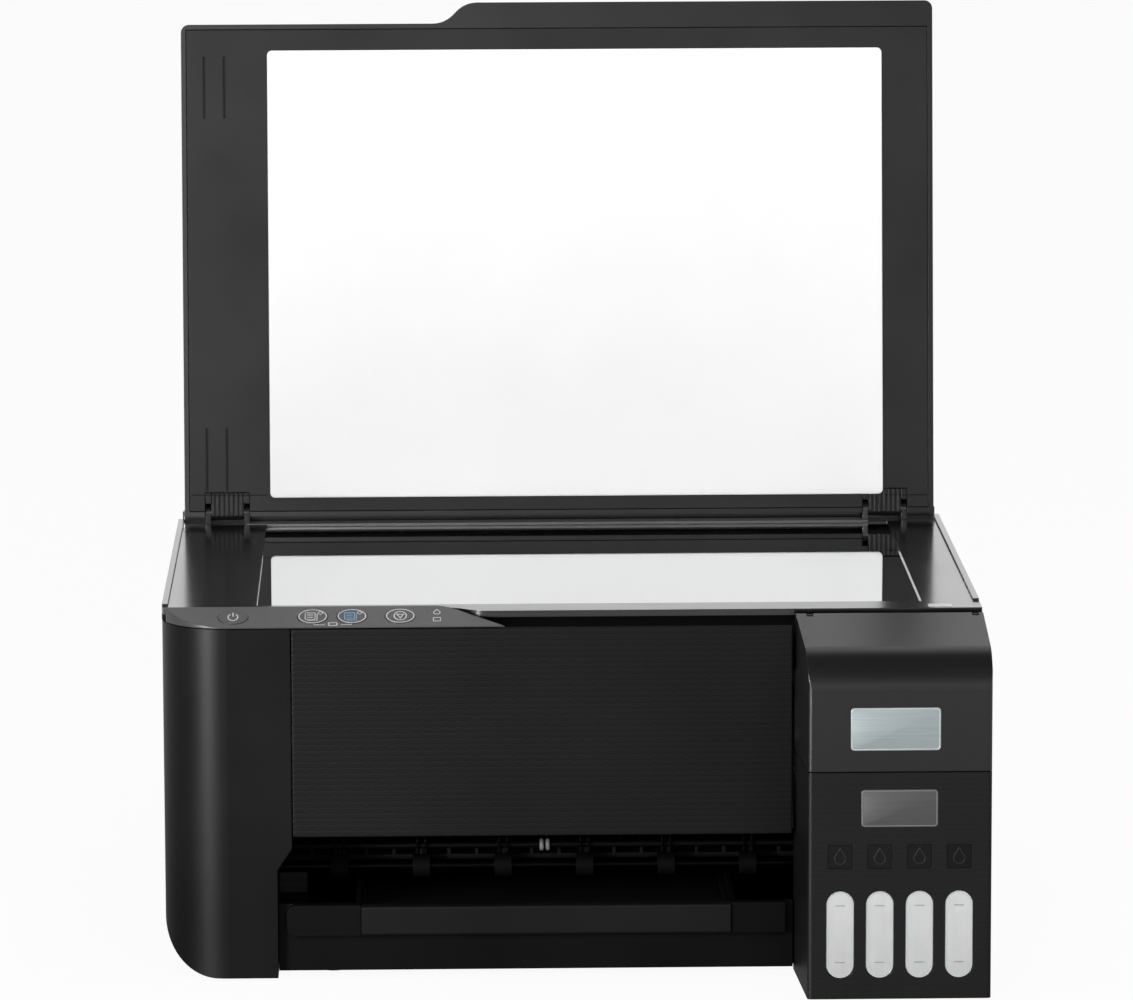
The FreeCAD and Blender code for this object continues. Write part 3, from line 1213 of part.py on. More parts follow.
def scanner_base():
    """Tray under the glass, with the knuckles of the scanner hinge."""
    low = seam_height + slack
    clear = column_right + seam
    step = column_front + column_depth + swing_gap
    outline = [(left, step), (clear, step), (clear, panel_rear), (right, panel_rear), (right, scanner_rear),
               (left, scanner_rear)]
    inner = [(left + wall, step + wall), (clear + wall, step + wall), (clear + wall, panel_rear + wall),
             (right - wall, panel_rear + wall), (right - wall, scanner_rear - wall),
             (left + wall, scanner_rear - wall)]
    tray = cut("base_tray", prism("base_outer", "XY", outline, (low, base_top)),
               prism("base_hollow", "XY", inner, (low + wall, base_top + 1)))
    shelf = prism("base_shelf", "XY", [(left, step + 0.1), (left, panel_rear, 8), (clear + 0.1, panel_rear),
                                       (clear + 0.1, step + 0.1)], (front_top + seam, base_top))
    knuckles = []
    for way in (-1, 1):
        near, far = hopper_half + 0.4, hopper_half + 8
        span = (near, far) if way > 0 else (-far, -near)
        arm = block("hinge_arm", span, (scanner_rear - 1, hinge_axis),
                    (hinge_height - eye_radius, hinge_height + eye_radius))
        eye = rod("hinge_eye", "x", span, (hinge_axis, hinge_height), eye_radius)
        bore = rod("hinge_bore", "x", (span[0] - 1, span[1] + 1), (hinge_axis, hinge_height),
                   pin_radius + bearing)
        knuckles.append(cut("hinge_knuckle", fuse("hinge_whole", arm, eye), bore))
    margin = glass_margin + slack
    seat = block("glass_seat", (window_left - margin, window_right + margin),
                 (window_front - margin, window_rear + margin), (glass_low - slack, base_top + 1))
    return cut("scanner_base", fuse("base_whole", tray, shelf, *knuckles), seat)


def scanner_bezel():
    """Top frame round the glass, its side rims and the ears of the lid hinges."""
    frame = scanner_plan("bezel_plate", (base_top, bezel_top))
    under = block("bezel_under", (left + 4, right - 4), (panel_rear + 3, scanner_rear - 4),
                  (base_top - 1, glass_top))
    window = block("bezel_window", (window_left, window_right), (window_front, window_rear),
                   (base_top - 1, bezel_top + 1))
    groove = block("hinge_groove", (left + rim_width + 1, right - rim_width - 1),
                   (window_rear - 0.5, lid_axis + 6), (bezel_top - 0.6, bezel_top + 1))
    rims = [block("bezel_rim", span, (panel_rear + 9, scanner_rear - 5),
                  (bezel_top - 0.1, bezel_top + rim_height))
            for span in ((left, left + rim_width), (right - rim_width, right))]
    ears = []
    for x in lid_hinges:
        for start in (x - knuckle_half - slack - ear_thick, x + knuckle_half + slack):
            span = (start, start + ear_thick)
            post = block("lid_ear_post", span, (lid_axis - knuckle_round, lid_axis + knuckle_round),
                         (bezel_top - 1, lid_height))
            eye = rod("lid_ear_eye", "x", span, (lid_axis, lid_height), knuckle_round)
            bore = rod("lid_ear_bore", "x", (start - 1, start + ear_thick + 1), (lid_axis, lid_height),
                       pin_radius + press)
            ears.append(cut("lid_ear", fuse("lid_ear_whole", post, eye), bore))
    return fuse("scanner_bezel", cut("bezel_open", frame, under, window, groove), *rims, *ears)


def scanner_glass():
    """Glass plate bonded under the bezel."""
    return block("scanner_glass", (window_left - glass_margin, window_right + glass_margin),
                 (window_front - glass_margin, window_rear + glass_margin), (glass_low, glass_top))


def lid_hinge_pins():
    reach = knuckle_half + slack + ear_thick
    centre = (lid_axis, lid_height)
    return group("lid_hinge_pins", *[rod("lid_pin", "x", (x - reach, x + reach), centre, pin_radius)
                                     for x in lid_hinges])


def cis_rail():
    return rod("cis_rail", "x", (left + wall, right - wall), (window_middle, cis_rail_height), cis_rail_radius)


def cis_module():
    """Scanning bar across the glass, sliding on its rail."""
    x = (cis_home - cis_half, cis_home + cis_half)
    top = glass_low - cis_gap
    bar = block("cis_bar", x, (window_front + 9.5, window_rear - 3), (top - cis_height, top))
    shoe = block("cis_shoe", x, (window_middle - 7, window_middle + 7),
                 (cis_rail_height - 6, top - cis_height + 1))
    bore = rod("cis_bore", "x", (x[0] - 1, x[1] + 1), (window_middle, cis_rail_height),
               cis_rail_radius + bearing)
    return cut("cis_module", fuse("cis_whole", bar, shoe), bore)


def key_pin(name, x, radius, low, high):
    """Round pin square to the control panel's face, from low to high along its normal."""
    item = doc.addObject("Part::Cylinder", name)
    lean_text = f"atan({panel_rise.text} / {panel_depth.text})"
    item.Placement = Placement(Vector(), Rotation(Vector(1, 0, 0), 10))
    item.setExpression("Placement.Rotation.Angle", lean_text)
    bind(item, "Radius", radius)
    bind(item, "Height", as_size(high) - low)
    bind(item, "Placement.Base.x", x)
    item.setExpression("Placement.Base.y", f"{key_middle.text} - {as_size(low).text} * sin({lean_text})")
    item.setExpression("Placement.Base.z", f"{key_top.text} + {as_size(low).text} * cos({lean_text})")
    return item


def control_panel():
    """Sloping key panel along the scanner's front edge."""
    wedge = prism("panel_wedge", "YZ", [(panel_front, panel_base), (panel_rear, panel_base),
                                        (panel_rear, panel_crest), (panel_front, panel_edge)],
                  (left, panel_tip + 10))
    tall = (panel_base - 1, panel_crest + 1)
    corner = prism("panel_corner", "XY", [(left, panel_front, corner_round), (panel_tip + 12, panel_front),
                                          (panel_tip + 12, panel_rear + 40), (left, panel_rear + 40)], tall)
    end = prism("panel_end_shape", "XY", [(left - 5, panel_rear), (left - 5, panel_front - 2),
                                          (panel_tip + 3, panel_front - 2), (panel_end, panel_rear, 16)], tall)
    holes = [key_pin("key_hole", x, key_radius + key_play, -key_depth * 3, key_depth * 2)
             for x in keys.values()]
    return cut("control_panel", common("panel_form", wedge, corner, end), *holes)


def control_keys():
    return [key_pin(label, x, key_radius, -key_depth, key_proud) for label, x in keys.items()]


def opened(item):
    """Set a lid piece, drawn closed about the hinge axis, in the opened pose."""
    item.Placement = Placement(Vector(), Rotation(Vector(1, 0, 0), -10))
    bind(item, "Placement.Rotation.Angle", -lid_open)
    bind(item, "Placement.Base.y", lid_axis)
    bind(item, "Placement.Base.z", lid_height)
    return item


def lid_shell():
    """Outer lid with its rim and the two ribbed hinge knuckles."""
    long_edge = -lid_length - lid_step
    outline = [(-lid_half, lid_tail), (-lid_half, -lid_length, lid_round),
               (panel_end + 3, -lid_length, curve_round), (panel_end + 13, long_edge, curve_round),
               (lid_half, long_edge, lid_round), (lid_half, lid_tail)]
    outer = soften("lid_outer", prism("lid_form", "XY", outline, (-lid_drop, lid_rise)), edge_round * 1.5,
                   on_plane("z", lid_rise))
    hollow = block("lid_hollow", (-lid_half + lid_wall, lid_half - lid_wall),
                   (-lid_length + lid_wall, lid_tail - lid_wall), (-lid_drop - 1, lid_rise - wall))
    gaps, arms, bores = [], [], []
    reach = knuckle_half + slack * 2 + ear_thick
    for x in lid_hinges:
        span = (x - knuckle_half, x + knuckle_half)
        gaps.append(block("hinge_gap", (x - reach, x + reach), (-6.5, lid_tail + 1),
                          (-lid_drop - 1, lid_rise + 1)))
        bores.append(rod("lid_bore", "x", (x - reach, x + reach), (0, 0), pin_radius + bearing))
        arms.append(block("lid_arm", span, (-9.5, 0), (-2.2, lid_rise)))
        arms.append(rod("lid_knuckle", "x", span, (0, 0), knuckle_round))
        for step in range(7):
            middle = x + rib_pitch * (step - 3)
            arms.append(block("hinge_rib", (middle - 0.6, middle + 0.6), (-9.5, -1), (-3.7, -2)))
    whole = fuse("lid_whole", cut("lid_open_form", outer, hollow, *gaps), *arms)
    return opened(cut("lid_shell", whole, *bores))


def lid_liner():
    """Inner panel of the lid, on posts from the outer skin."""
    margin = lid_wall + slack
    face = block("liner_face", (-lid_half + margin, lid_half - margin),
                 (-lid_length + margin, lid_tail - margin), (-lid_drop, -lid_drop + wall * 0.8))
    reach = knuckle_half + slack * 2 + ear_thick
    gaps = [block("liner_gap", (x - reach, x + reach), (-10, lid_tail), (-lid_drop - 1, 0)) for x in lid_hinges]
    post_x = lid_half - post_inset
    posts = [rod("liner_post", "z", (-lid_drop + 0.5, lid_rise - wall), (x, y), 4)
             for x in (-post_x, 0, post_x) for y in (-lid_length / 4, -lid_length * 0.8)]
    return opened(fuse("lid_liner", cut("liner_open", face, *gaps), *posts))


def lid_pad():
    """White backing pad on the liner."""
    x = (window_left + pad_inset, window_right - pad_inset)
    y = (-pad_start, pad_end - lid_length)
    outline = [(x[0], y[0], pad_round), (x[0], y[1], pad_round), (x[1], y[1], pad_round),
               (x[1], y[0], pad_round)]
    return opened(prism("lid_pad", "XY", outline, (-lid_drop - pad_thick, -lid_drop)))


def main_board():
    """Circuit board on its posts, with the larger components."""
    foot = board_top - 0.1
    board = block("board", (board_left, board_right), (board_front, board_rear),
                  (board_top - board_thick, board_top))
    parts = [block("chip", (board_left + 80, board_left + 106), (board_front + 33, board_front + 59),
                   (foot, board_top + 2.2)),
             block("cooler", (board_left + 120, board_left + 150), (board_front + 38, board_front + 56),
                   (foot, board_top + 12))]
    for x, length in ((board_left + 30, 40), (board_left + 80, 50)):
        parts.append(block("connector", (x, x + length), (board_front + 4, board_front + 10),
                           (foot, board_top + 7)))
    for x in (board_left + 140, board_left + 156):
        parts.append(rod("capacitor", "z", (foot, board_top + 13), (x, board_front + 70), 5))
    return fuse("main_board", board, *parts)


def power_supply():
    """Mains supply block with a row of cooling slots."""
    case = block("supply_case", (supply_left, supply_right), (supply_front, board_rear),
                 (floor_top, supply_top))
    pitch = (board_rear - supply_front) / 11
    slots = [block("supply_slot", (supply_left + 5, supply_right - 5),
                   (supply_front + pitch * step, supply_front + pitch * step + 3),
                   (supply_top - 2, supply_top + 1)) for step in range(1, 10)]
    return cut("power_supply", case, *slots)


def ac_inlet():
    """Two-pin mains inlet; no cord is plugged in."""
    x = (inlet_centre - inlet_half, inlet_centre + inlet_half)
    mouth = (inlet_centre - 9.6, inlet_centre + 9.6)
    z = (inlet_height - 5.2, inlet_height + 5.2)
    body = block("inlet_body", x, (board_rear, socket_rear),
                 (inlet_height - inlet_tall, inlet_height + inlet_tall))
    socket = prism("inlet_socket", "XZ", [(mouth[0], z[0], 4.8), (mouth[1], z[0], 4.8), (mouth[1], z[1], 4.8),
                                          (mouth[0], z[1], 4.8)], (socket_rear - 13, socket_rear + 1))
    pins = [rod("inlet_pin", "y", (socket_rear - 13.5, socket_rear - 2),
                (inlet_centre + shift, inlet_height), 1.2) for shift in (-4.3, 4.3)]
    return fuse("ac_inlet", cut("inlet_open", body, socket), *pins)


def usb_port():
    """Square data socket on the main board."""
    body = block("usb_body", (usb_centre - usb_half, usb_centre + usb_half),
                 (socket_rear - usb_depth, socket_rear), (board_top, board_top + usb_tall))
    socket = block("usb_socket", (usb_centre - 4.3, usb_centre + 4.3), (socket_rear - 10, socket_rear + 1),
                   (board_top + 2.2, board_top + 10.2))
    tongue = block("usb_tongue", (usb_centre - 2.8, usb_centre + 2.8), (socket_rear - 10.5, socket_rear - 5),
                   (board_top + 4.6, board_top + 7.8))
    return fuse("usb_port", cut("usb_open", body, socket), tongue)


nodes = [lower_case(), left_side_cover(), right_side_cover(), rear_cover(), front_panel(), rubber_feet(),
         frame_screws(), main_frame(), carriage_rail(), carriage(), print_head(), carriage_motor(),
         pulley("motor_pulley", motor_pulley_x), pulley("idler_pulley", idler_pulley_x), carriage_belt(),
         platen(), pinch_rollers(), capping_station(), feed_motor(), feed_roller(), eject_roller(),
         star_wheels(), rear_feed_hopper(), scanner_hinge_pins(), load_roller(), paper_support(),
         edge_guide(), feeder_guard(), output_tray(), tray_extension(), paper_stopper(), tank_housing(),
         ink_tanks(), ink_tank_cover(), scanner_base(), scanner_bezel(), scanner_glass(), lid_hinge_pins(),
         cis_rail(), cis_module(), control_panel(), lid_shell(), lid_liner(), lid_pad(), main_board(),
         power_supply(), ac_inlet(), usb_port()]
nodes += gear_train() + tank_caps() + control_keys()

doc.recompute()
for item in doc.Objects:
    if "Invalid" in item.State or "Error" in item.State:
        raise RuntimeError(f"{item.Label} failed: {item.State}")
os.makedirs("parts", exist_ok=True)
for item in nodes:
    shape = item.Shape
    if shape.isNull() or not shape.isValid():
        raise RuntimeError(f"{item.Label} has no valid shape")
    print(item.Label, len(shape.Solids), round(shape.Volume / 1000, 1))
    shape.exportStep(f"parts/{item.Label}.step")
print(len(nodes), "pieces")
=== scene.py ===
import math

import bmesh
import bpy
from mathutils import Matrix, Vector


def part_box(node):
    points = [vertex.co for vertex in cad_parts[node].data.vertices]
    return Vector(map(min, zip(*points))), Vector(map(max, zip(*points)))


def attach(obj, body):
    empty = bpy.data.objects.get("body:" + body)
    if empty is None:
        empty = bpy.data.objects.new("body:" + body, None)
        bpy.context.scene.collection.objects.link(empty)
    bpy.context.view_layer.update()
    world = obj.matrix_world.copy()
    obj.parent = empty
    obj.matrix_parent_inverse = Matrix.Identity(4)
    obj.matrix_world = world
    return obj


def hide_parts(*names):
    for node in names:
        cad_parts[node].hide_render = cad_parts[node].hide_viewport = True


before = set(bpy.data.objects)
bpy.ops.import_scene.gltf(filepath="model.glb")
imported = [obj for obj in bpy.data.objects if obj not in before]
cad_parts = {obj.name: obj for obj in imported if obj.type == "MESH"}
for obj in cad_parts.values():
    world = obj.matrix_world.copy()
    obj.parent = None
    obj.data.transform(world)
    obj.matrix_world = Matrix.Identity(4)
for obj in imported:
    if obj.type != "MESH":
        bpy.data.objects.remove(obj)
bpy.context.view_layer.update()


# Lower case: the black polystyrene floor of the printer with the apron, the ledges beside the tray and
# the tray channel. Injection moulded in one piece with a fine eroded grain; the other covers clip to it.
class Wire:
    """A socket of a material; sums written with it add Math nodes."""

    def __init__(self, tree, socket):
        self.tree = tree
        self.socket = socket

    def node(self, kind, settings=None, sockets=None, output=None):
        """Adds a node, its settings first and then its sockets, and gives one of its outputs."""
        added = self.tree.nodes.new(kind)
        for name, value in (settings or {}).items():
            if name == "stops":
                ramp = added.color_ramp.elements
                while len(ramp) < len(value):
                    ramp.new(1)
                for stop, (position, colour) in zip(ramp, value):
                    stop.position = position
                    stop.color = (*colour, 1)
            else:
                setattr(added, name, value)
        for name, value in (sockets or {}).items():
            socket = next(s for s in added.inputs if name in (s.identifier, s.name))
            if isinstance(value, Wire):
                self.tree.links.new(value.socket, socket)
            else:
                socket.default_value = value
        outputs = [s for s in added.outputs if output in (None, s.identifier, s.name)]
        return Wire(self.tree, outputs[0])

    def maths(self, operation, first, second=0.0):
        return self.node("ShaderNodeMath", {"operation": operation}, {"Value": first, "Value_001": second})

    def __add__(self, other):
        return self.maths("ADD", self, other)

    def __sub__(self, other):
        return self.maths("SUBTRACT", self, other)

    def __rsub__(self, other):
        return self.maths("SUBTRACT", other, self)

    def __mul__(self, other):
        return self.maths("MULTIPLY", self, other)

    def __truediv__(self, other):
        return self.maths("DIVIDE", self, other)

    def __pow__(self, other):
        return self.maths("POWER", self, other)

    __radd__ = __add__
    __rmul__ = __mul__

    def sine(self):
        return self.maths("SINE", self)

    def over(self, edge):
        return self.maths("GREATER_THAN", self, edge)

    def axes(self):
        return [self.node("ShaderNodeSeparateXYZ", None, {"Vector": self}, axis) for axis in "XYZ"]

    def noise(self, scale, detail=2.0):
        return self.node("ShaderNodeTexNoise", None, {"Vector": self, "Scale": scale, "Detail": detail})

    def shade(self, *stops):
        return self.node("ShaderNodeValToRGB", {"stops": stops}, {"Fac": self})

    def blend(self, below, above):
        return self.node("ShaderNodeMix", {"data_type": "RGBA"},
                         {"Factor_Float": self, "A_Color": below, "B_Color": above}, "Result_Color")


def new_finish(name, constants):
    """A material with its constant sockets set; gives it and the place on the piece at rest."""
    made = bpy.data.materials.new(name)
    made.use_nodes = True
    shader = made.node_tree.nodes["Principled BSDF"]
    for socket, value in constants.items():
        shader.inputs[socket].default_value = value
    place = Wire(made.node_tree, None).node("ShaderNodeTexCoord", output="Object")
    return made, place


def lay(made, layers):
    """Feeds a finish's varying sockets."""
    shader = made.node_tree.nodes["Principled BSDF"]
    for socket, wire in layers.items():
        made.node_tree.links.new(wire.socket, shader.inputs[socket])
    return made


def relief(height, strength, depth, edge=0.0005):
    """Normal of a surface with a fine relief and softened edges."""
    eased = height.node("ShaderNodeBevel", {"samples": 4}, {"Radius": edge})
    return height.node("ShaderNodeBump", None, {"Strength": strength, "Distance": depth, "Height": height,
                                                "Normal": eased})


def grey(value):
    return (value, value, value)


def moulded(name, colour, roughness, specular=0.2, grain=0.25, spread=0.14, coat=0.0):
    """Moulded plastic: eroded grain, and slow clouds in its tone and gloss."""
    made, place = new_finish(name, {"Specular IOR Level": specular, "Coat Weight": coat,
                                    "Coat Roughness": 0.15})
    cloud = place.noise(16, 4)
    spark = place.noise(1400, 2)
    tone = cloud.shade((0.34, [c * (1 - spread) for c in colour]),
                       (0.66, [c * (1 + spread) for c in colour]))
    return lay(made, {"Base Color": tone,
                      "Roughness": roughness + (cloud - 0.5) * 0.14 + (spark - 0.5) * 0.12,
                      "Normal": relief(spark, strength=grain, depth=0.0001)})


def dress(made, *nodes):
    """Gives CAD nodes a finish."""
    for node in nodes:
        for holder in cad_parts[node].material_slots:
            holder.material = made


case_black = moulded("case_black", grey(0.003), roughness=0.5, specular=0.05)
dress(case_black, "lower_case")


# Feet: four round pads of soft black rubber pressed into the floor, matt and slightly dusty,
# which keep the printer off the table.
def rubber(name, colour):
    """Matt rubber with a powdery bloom."""
    made, place = new_finish(name, {"Specular IOR Level": 0.25})
    bloom = place.noise(60, 5)
    pores = place.noise(900, 3)
    tone = bloom.shade((0.3, [c * 0.75 for c in colour]), (0.75, [c * 1.6 for c in colour]))
    return lay(made, {"Base Color": tone, "Roughness": 0.78 + (pores - 0.5) * 0.2,
                      "Normal": relief(pores, strength=0.3, depth=0.0002)})


foot_rubber = rubber("foot_rubber", grey(0.018))
dress(foot_rubber, "rubber_feet")


# Main frame: bent sheet of galvanised steel with the two side plates, and the ground steel rail that
# the carriage rides on. Four screws hold the frame's feet to the case floor.
def steel(name, colour, roughness, streak):
    """Bare metal, rolled or ground along one way, with faint stains."""
    made, place = new_finish(name, {"Metallic": 1.0})
    drawn = place.node("ShaderNodeMapping", None, {"Vector": place, "Scale": streak}).noise(1.0, 6)
    stain = place.noise(30, 5)
    tone = (drawn * 0.6 + stain * 0.4).shade((0.3, [c * 0.72 for c in colour]), (0.7, colour))
    return lay(made, {"Base Color": tone,
                      "Roughness": roughness + (drawn - 0.5) * 0.25 + (stain - 0.5) * 0.1,
                      "Normal": relief(drawn, strength=0.08, depth=0.0001, edge=0.0003)})


sheet_steel = steel("sheet_steel", (0.52, 0.53, 0.54), roughness=0.38, streak=(20, 900, 900))
rail_steel = steel("rail_steel", (0.62, 0.62, 0.63), roughness=0.2, streak=(8, 2500, 2500))
screw_steel = steel("screw_steel", (0.45, 0.44, 0.42), roughness=0.34, streak=(900, 900, 900))
dress(sheet_steel, "main_frame")
dress(rail_steel, "carriage_rail")
dress(screw_steel, "frame_screws")


# Carriage drive: two motors in drawn steel cans, the flanged belt pulleys and a toothed rubber belt.
# The belt is clipped to the carriage; its teeth run across its inner side.
def toothed(name, pitch):
    """Belt rubber with teeth across its run, painted darker between the teeth as shade."""
    made, place = new_finish(name, {"Specular IOR Level": 0.25})
    x, y, z = place.axes()
    teeth = ((x + z) * (2 * math.pi / pitch)).sine()
    # The roots between the teeth are painted darker than the tips, as shade.
    tone = (teeth * 0.5 + 0.5).shade((0.2, grey(0.008)), (0.9, grey(0.03)))
    return lay(made, {"Base Color": tone, "Roughness": 0.7 + teeth * 0.1,
                      "Normal": relief(teeth, strength=0.6, depth=0.0004, edge=0.0002)})


motor_steel = steel("motor_steel", (0.48, 0.48, 0.47), roughness=0.3, streak=(300, 300, 300))
pulley_white = moulded("pulley_white", (0.62, 0.61, 0.57), roughness=0.42, specular=0.4)
belt_rubber = toothed("belt_rubber", 0.00203)
dress(motor_steel, "carriage_motor", "feed_motor")
dress(pulley_white, "motor_pulley", "idler_pulley")
dress(belt_rubber, "carriage_belt")


# Carriage and print head: black moulded holder on its sleeve, and below it the nozzle block with its
# gold-tinted nozzle plate, held by the carriage.
def nozzle_finish():
    """Dark resin block with a plated nozzle face underneath."""
    made, place = new_finish("nozzle_block", {"Specular IOR Level": 0.4})
    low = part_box("print_head")[0][2]
    x, y, z = place.axes()
    body = z.over(low + 0.0009)
    rows = (x * (2 * math.pi / 0.0016)).sine()
    plated = (rows * 0.5 + 0.5).shade((0.1, (0.36, 0.25, 0.1)), (0.9, (0.62, 0.46, 0.2)))
    resin = place.noise(40, 4).shade((0.3, grey(0.012)), (0.7, grey(0.02)))
    return lay(made, {"Base Color": body.blend(plated, resin), "Metallic": 1 - body,
                      "Roughness": 0.3 + body * 0.2,
                      "Normal": relief(rows, strength=0.05, depth=0.0001, edge=0.0003)})


holder_black = moulded("holder_black", grey(0.011), roughness=0.5, specular=0.3)
dress(holder_black, "carriage")
dress(nozzle_finish(), "print_head")


# Paper path: the ribbed black platen, the capping station beside it, and the gears of natural acetal
# that link the motor, feed roller, idler and eject roller.
acetal = moulded("acetal", (0.66, 0.64, 0.57), roughness=0.36, specular=0.4)
# The platen, pinch rollers and capping station lie in the paper exit; their black is painted darker still,
# as the exit's shade.
platen_black_and_shade = moulded("platen_black_and_shade", grey(0.004), roughness=0.55, specular=0.1)
dress(platen_black_and_shade, "platen")
dress(moulded("station_dark_and_shade", grey(0.006), roughness=0.6, specular=0.1), "capping_station")
dress(acetal, "feed_gear", "idler_gear", "eject_gear", "motor_pinion")


# Rollers: the feed roller is steel with a gritty ceramic coat, the eject and load shafts carry rubber
# rings, and the pinch rollers press the sheet down from a black holder.
def middle(node):
    """Height and depth of a turned node's axis."""
    low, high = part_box(node)
    return (low[2] + high[2]) / 2, (low[1] + high[1]) / 2


def shafted(name, node, shaft, ring, specular):
    """Blackened steel shaft with rubber where the radius grows past the shaft's."""
    made, place = new_finish(name, {"Specular IOR Level": specular})
    height, depth = middle(node)
    x, y, z = place.axes()
    reach = ((y - depth) ** 2.0 + (z - height) ** 2.0) ** 0.5
    ringed = reach.over(shaft)
    grit = place.noise(1100, 4)
    bright = grit.shade((0.3, grey(0.003)), (0.7, grey(0.008)))
    soft = grit.shade((0.3, [c * 0.7 for c in ring]), (0.7, [c * 1.3 for c in ring]))
    return lay(made, {"Base Color": ringed.blend(bright, soft), "Metallic": 1 - ringed,
                      "Roughness": 0.3 + ringed * 0.45,
                      "Normal": relief(grit, strength=0.25, depth=0.0001, edge=0.0003)})


# The eject rings lie in the paper exit, so their rubber is painted near black, darker than its own colour,
# as the exit's shade.
for name, node, shaft, ring, specular in (("feed_coat", "feed_roller", 0.0045, 0.11, 0.35),
                                          ("eject_rings", "eject_roller", 0.0034, 0.003, 0.05),
                                          ("load_tyres", "load_roller", 0.0045, 0.05, 0.35)):
    dress(shafted(name, node, shaft, grey(ring), specular), node)
dress(platen_black_and_shade, "pinch_rollers")


# Star wheels: thin toothed discs in pairs on one axle over the eject rings, moulded in dark resin and
# painted darker still as the shade of the paper exit. The short pair in the middle of the exit is white
# and smooth, and turns with the same axle.
def outline_box(x0, y0, x1, y1, radius, steps=6):
    """Outline of a rounded rectangle, anticlockwise from its lower right corner."""
    points = []
    for turn, (cx, cy) in enumerate(((x1 - radius, y0 + radius), (x1 - radius, y1 - radius),
                                     (x0 + radius, y1 - radius), (x0 + radius, y0 + radius))):
        for step in range(steps + 1):
            angle = math.radians(90 * (turn - 1 + step / steps))
            points.append(Vector((cx + radius * math.cos(angle), cy + radius * math.sin(angle))))
    return points


def circle(cx, cy, radius, steps=40, start=0.0, sweep=360.0):
    """Points on a circle, or on an arc of it."""
    last = steps if sweep >= 360 else steps + 1
    return [Vector((cx + radius * math.cos(math.radians(start + sweep * step / steps)),
                    cy + radius * math.sin(math.radians(start + sweep * step / steps))))
            for step in range(last)]


def drawn_in(outline, distance):
    """A closed outline moved inwards by a distance."""
    moved = []
    for before, here, after in zip(outline[-1:] + outline[:-1], outline, outline[1:] + outline[:1]):
        first, second = (here - before).normalized(), (after - here).normalized()
        across = Vector((-first.y - second.y, first.x + second.x))
        moved.append(here + across * (distance / max(0.3, 1 + first.dot(second))))
    return moved


def skin(form, loops, ring=False):
    """Closed form through loops of points, capped at its ends or joined round into a ring."""
    rows = [[form.verts.new(point) for point in loop] for loop in loops]
    for low, high in zip(rows, rows[1:] + (rows[:1] if ring else [])):
        for here in range(len(low)):
            after = (here + 1) % len(low)
            form.faces.new((low[here], low[after], high[after], high[here]))
    if not ring:
        form.faces.new(rows[0][::-1])
        form.faces.new(rows[-1])


def slab(form, outline, *levels):
    """Closed form on an outline; each level is how far it is drawn in, and its height."""
    skin(form, [[(*point, height) for point in drawn_in(outline, inset)] for inset, height in levels])


def band(form, outline, width, low, high):
    """Closed ring of a width along a closed outline."""
    outer, inner = drawn_in(outline, -width / 2), drawn_in(outline, width / 2)
    skin(form, [[(*point, height) for point in loop]
                for loop, height in ((outer, low), (outer, high), (inner, high), (inner, low))], True)


def stroke(form, points, width, low, high):
    """Closed strip of a width along an open line."""
    sides = ([], [])
    for place, point in enumerate(points):
        before, after = points[max(place - 1, 0)], points[min(place + 1, len(points) - 1)]
        along = (Vector(after) - Vector(before)).normalized()
        across = Vector((-along.y, along.x)) * (width / 2)
        sides[0].append(Vector(point) - across)
        sides[1].append(Vector(point) + across)
    slab(form, sides[0] + sides[1][::-1], (0, low), (0, high))


def spot(origin, right, up):
    """Place on a surface: x to the right, y up along it and z out of it, drawn in millimetres."""
    right, up = Vector(right).normalized(), Vector(up).normalized()
    out = right.cross(up)
    turned = Matrix((right, up, out)).transposed().to_4x4()
    return Matrix.Translation(Vector(origin) * 0.001) @ turned @ Matrix.Scale(0.001, 4)


def set_piece(name, form, where, made, body):
    """Turns a drawn form into a piece of the printer that moves with a body."""
    bmesh.ops.recalc_face_normals(form, faces=form.faces)
    form.transform(where)
    mesh = bpy.data.meshes.new(name)
    form.to_mesh(mesh)
    form.free()
    mesh.polygons.foreach_set("use_smooth", [True] * len(mesh.polygons))
    mesh.set_sharp_from_angle(angle=math.radians(32))
    mesh.materials.append(made)
    item = bpy.data.objects.new(name, mesh)
    bpy.context.collection.objects.link(item)
    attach(item, body)
    return item


# The discs' near-black is partly their dark resin and partly painted shade of the paper exit.
dark_disc_and_shade = moulded("dark_disc_and_shade", grey(0.004), roughness=0.5, specular=0.08)
white_disc = moulded("white_disc", grey(0.7), roughness=0.4, specular=0.4)
dress(dark_disc_and_shade, "star_wheels")
star_height, star_depth = middle("star_wheels")
star_axle = spot((0, star_depth * 1000, star_height * 1000), (0, -1, 0), (0, 0, 1))
disc_radius, disc_xs = 2.9, (10.6, 13.4)
form = bmesh.new()
for x in disc_xs:
    slab(form, circle(0, 0, disc_radius, steps=28),
         (1.2, x - 1.0), (0.3, x - 0.75), (0, x), (0.3, x + 0.75), (1.2, x + 1.0))
set_piece("star_centre_pair", form, star_axle, white_disc, "stars")


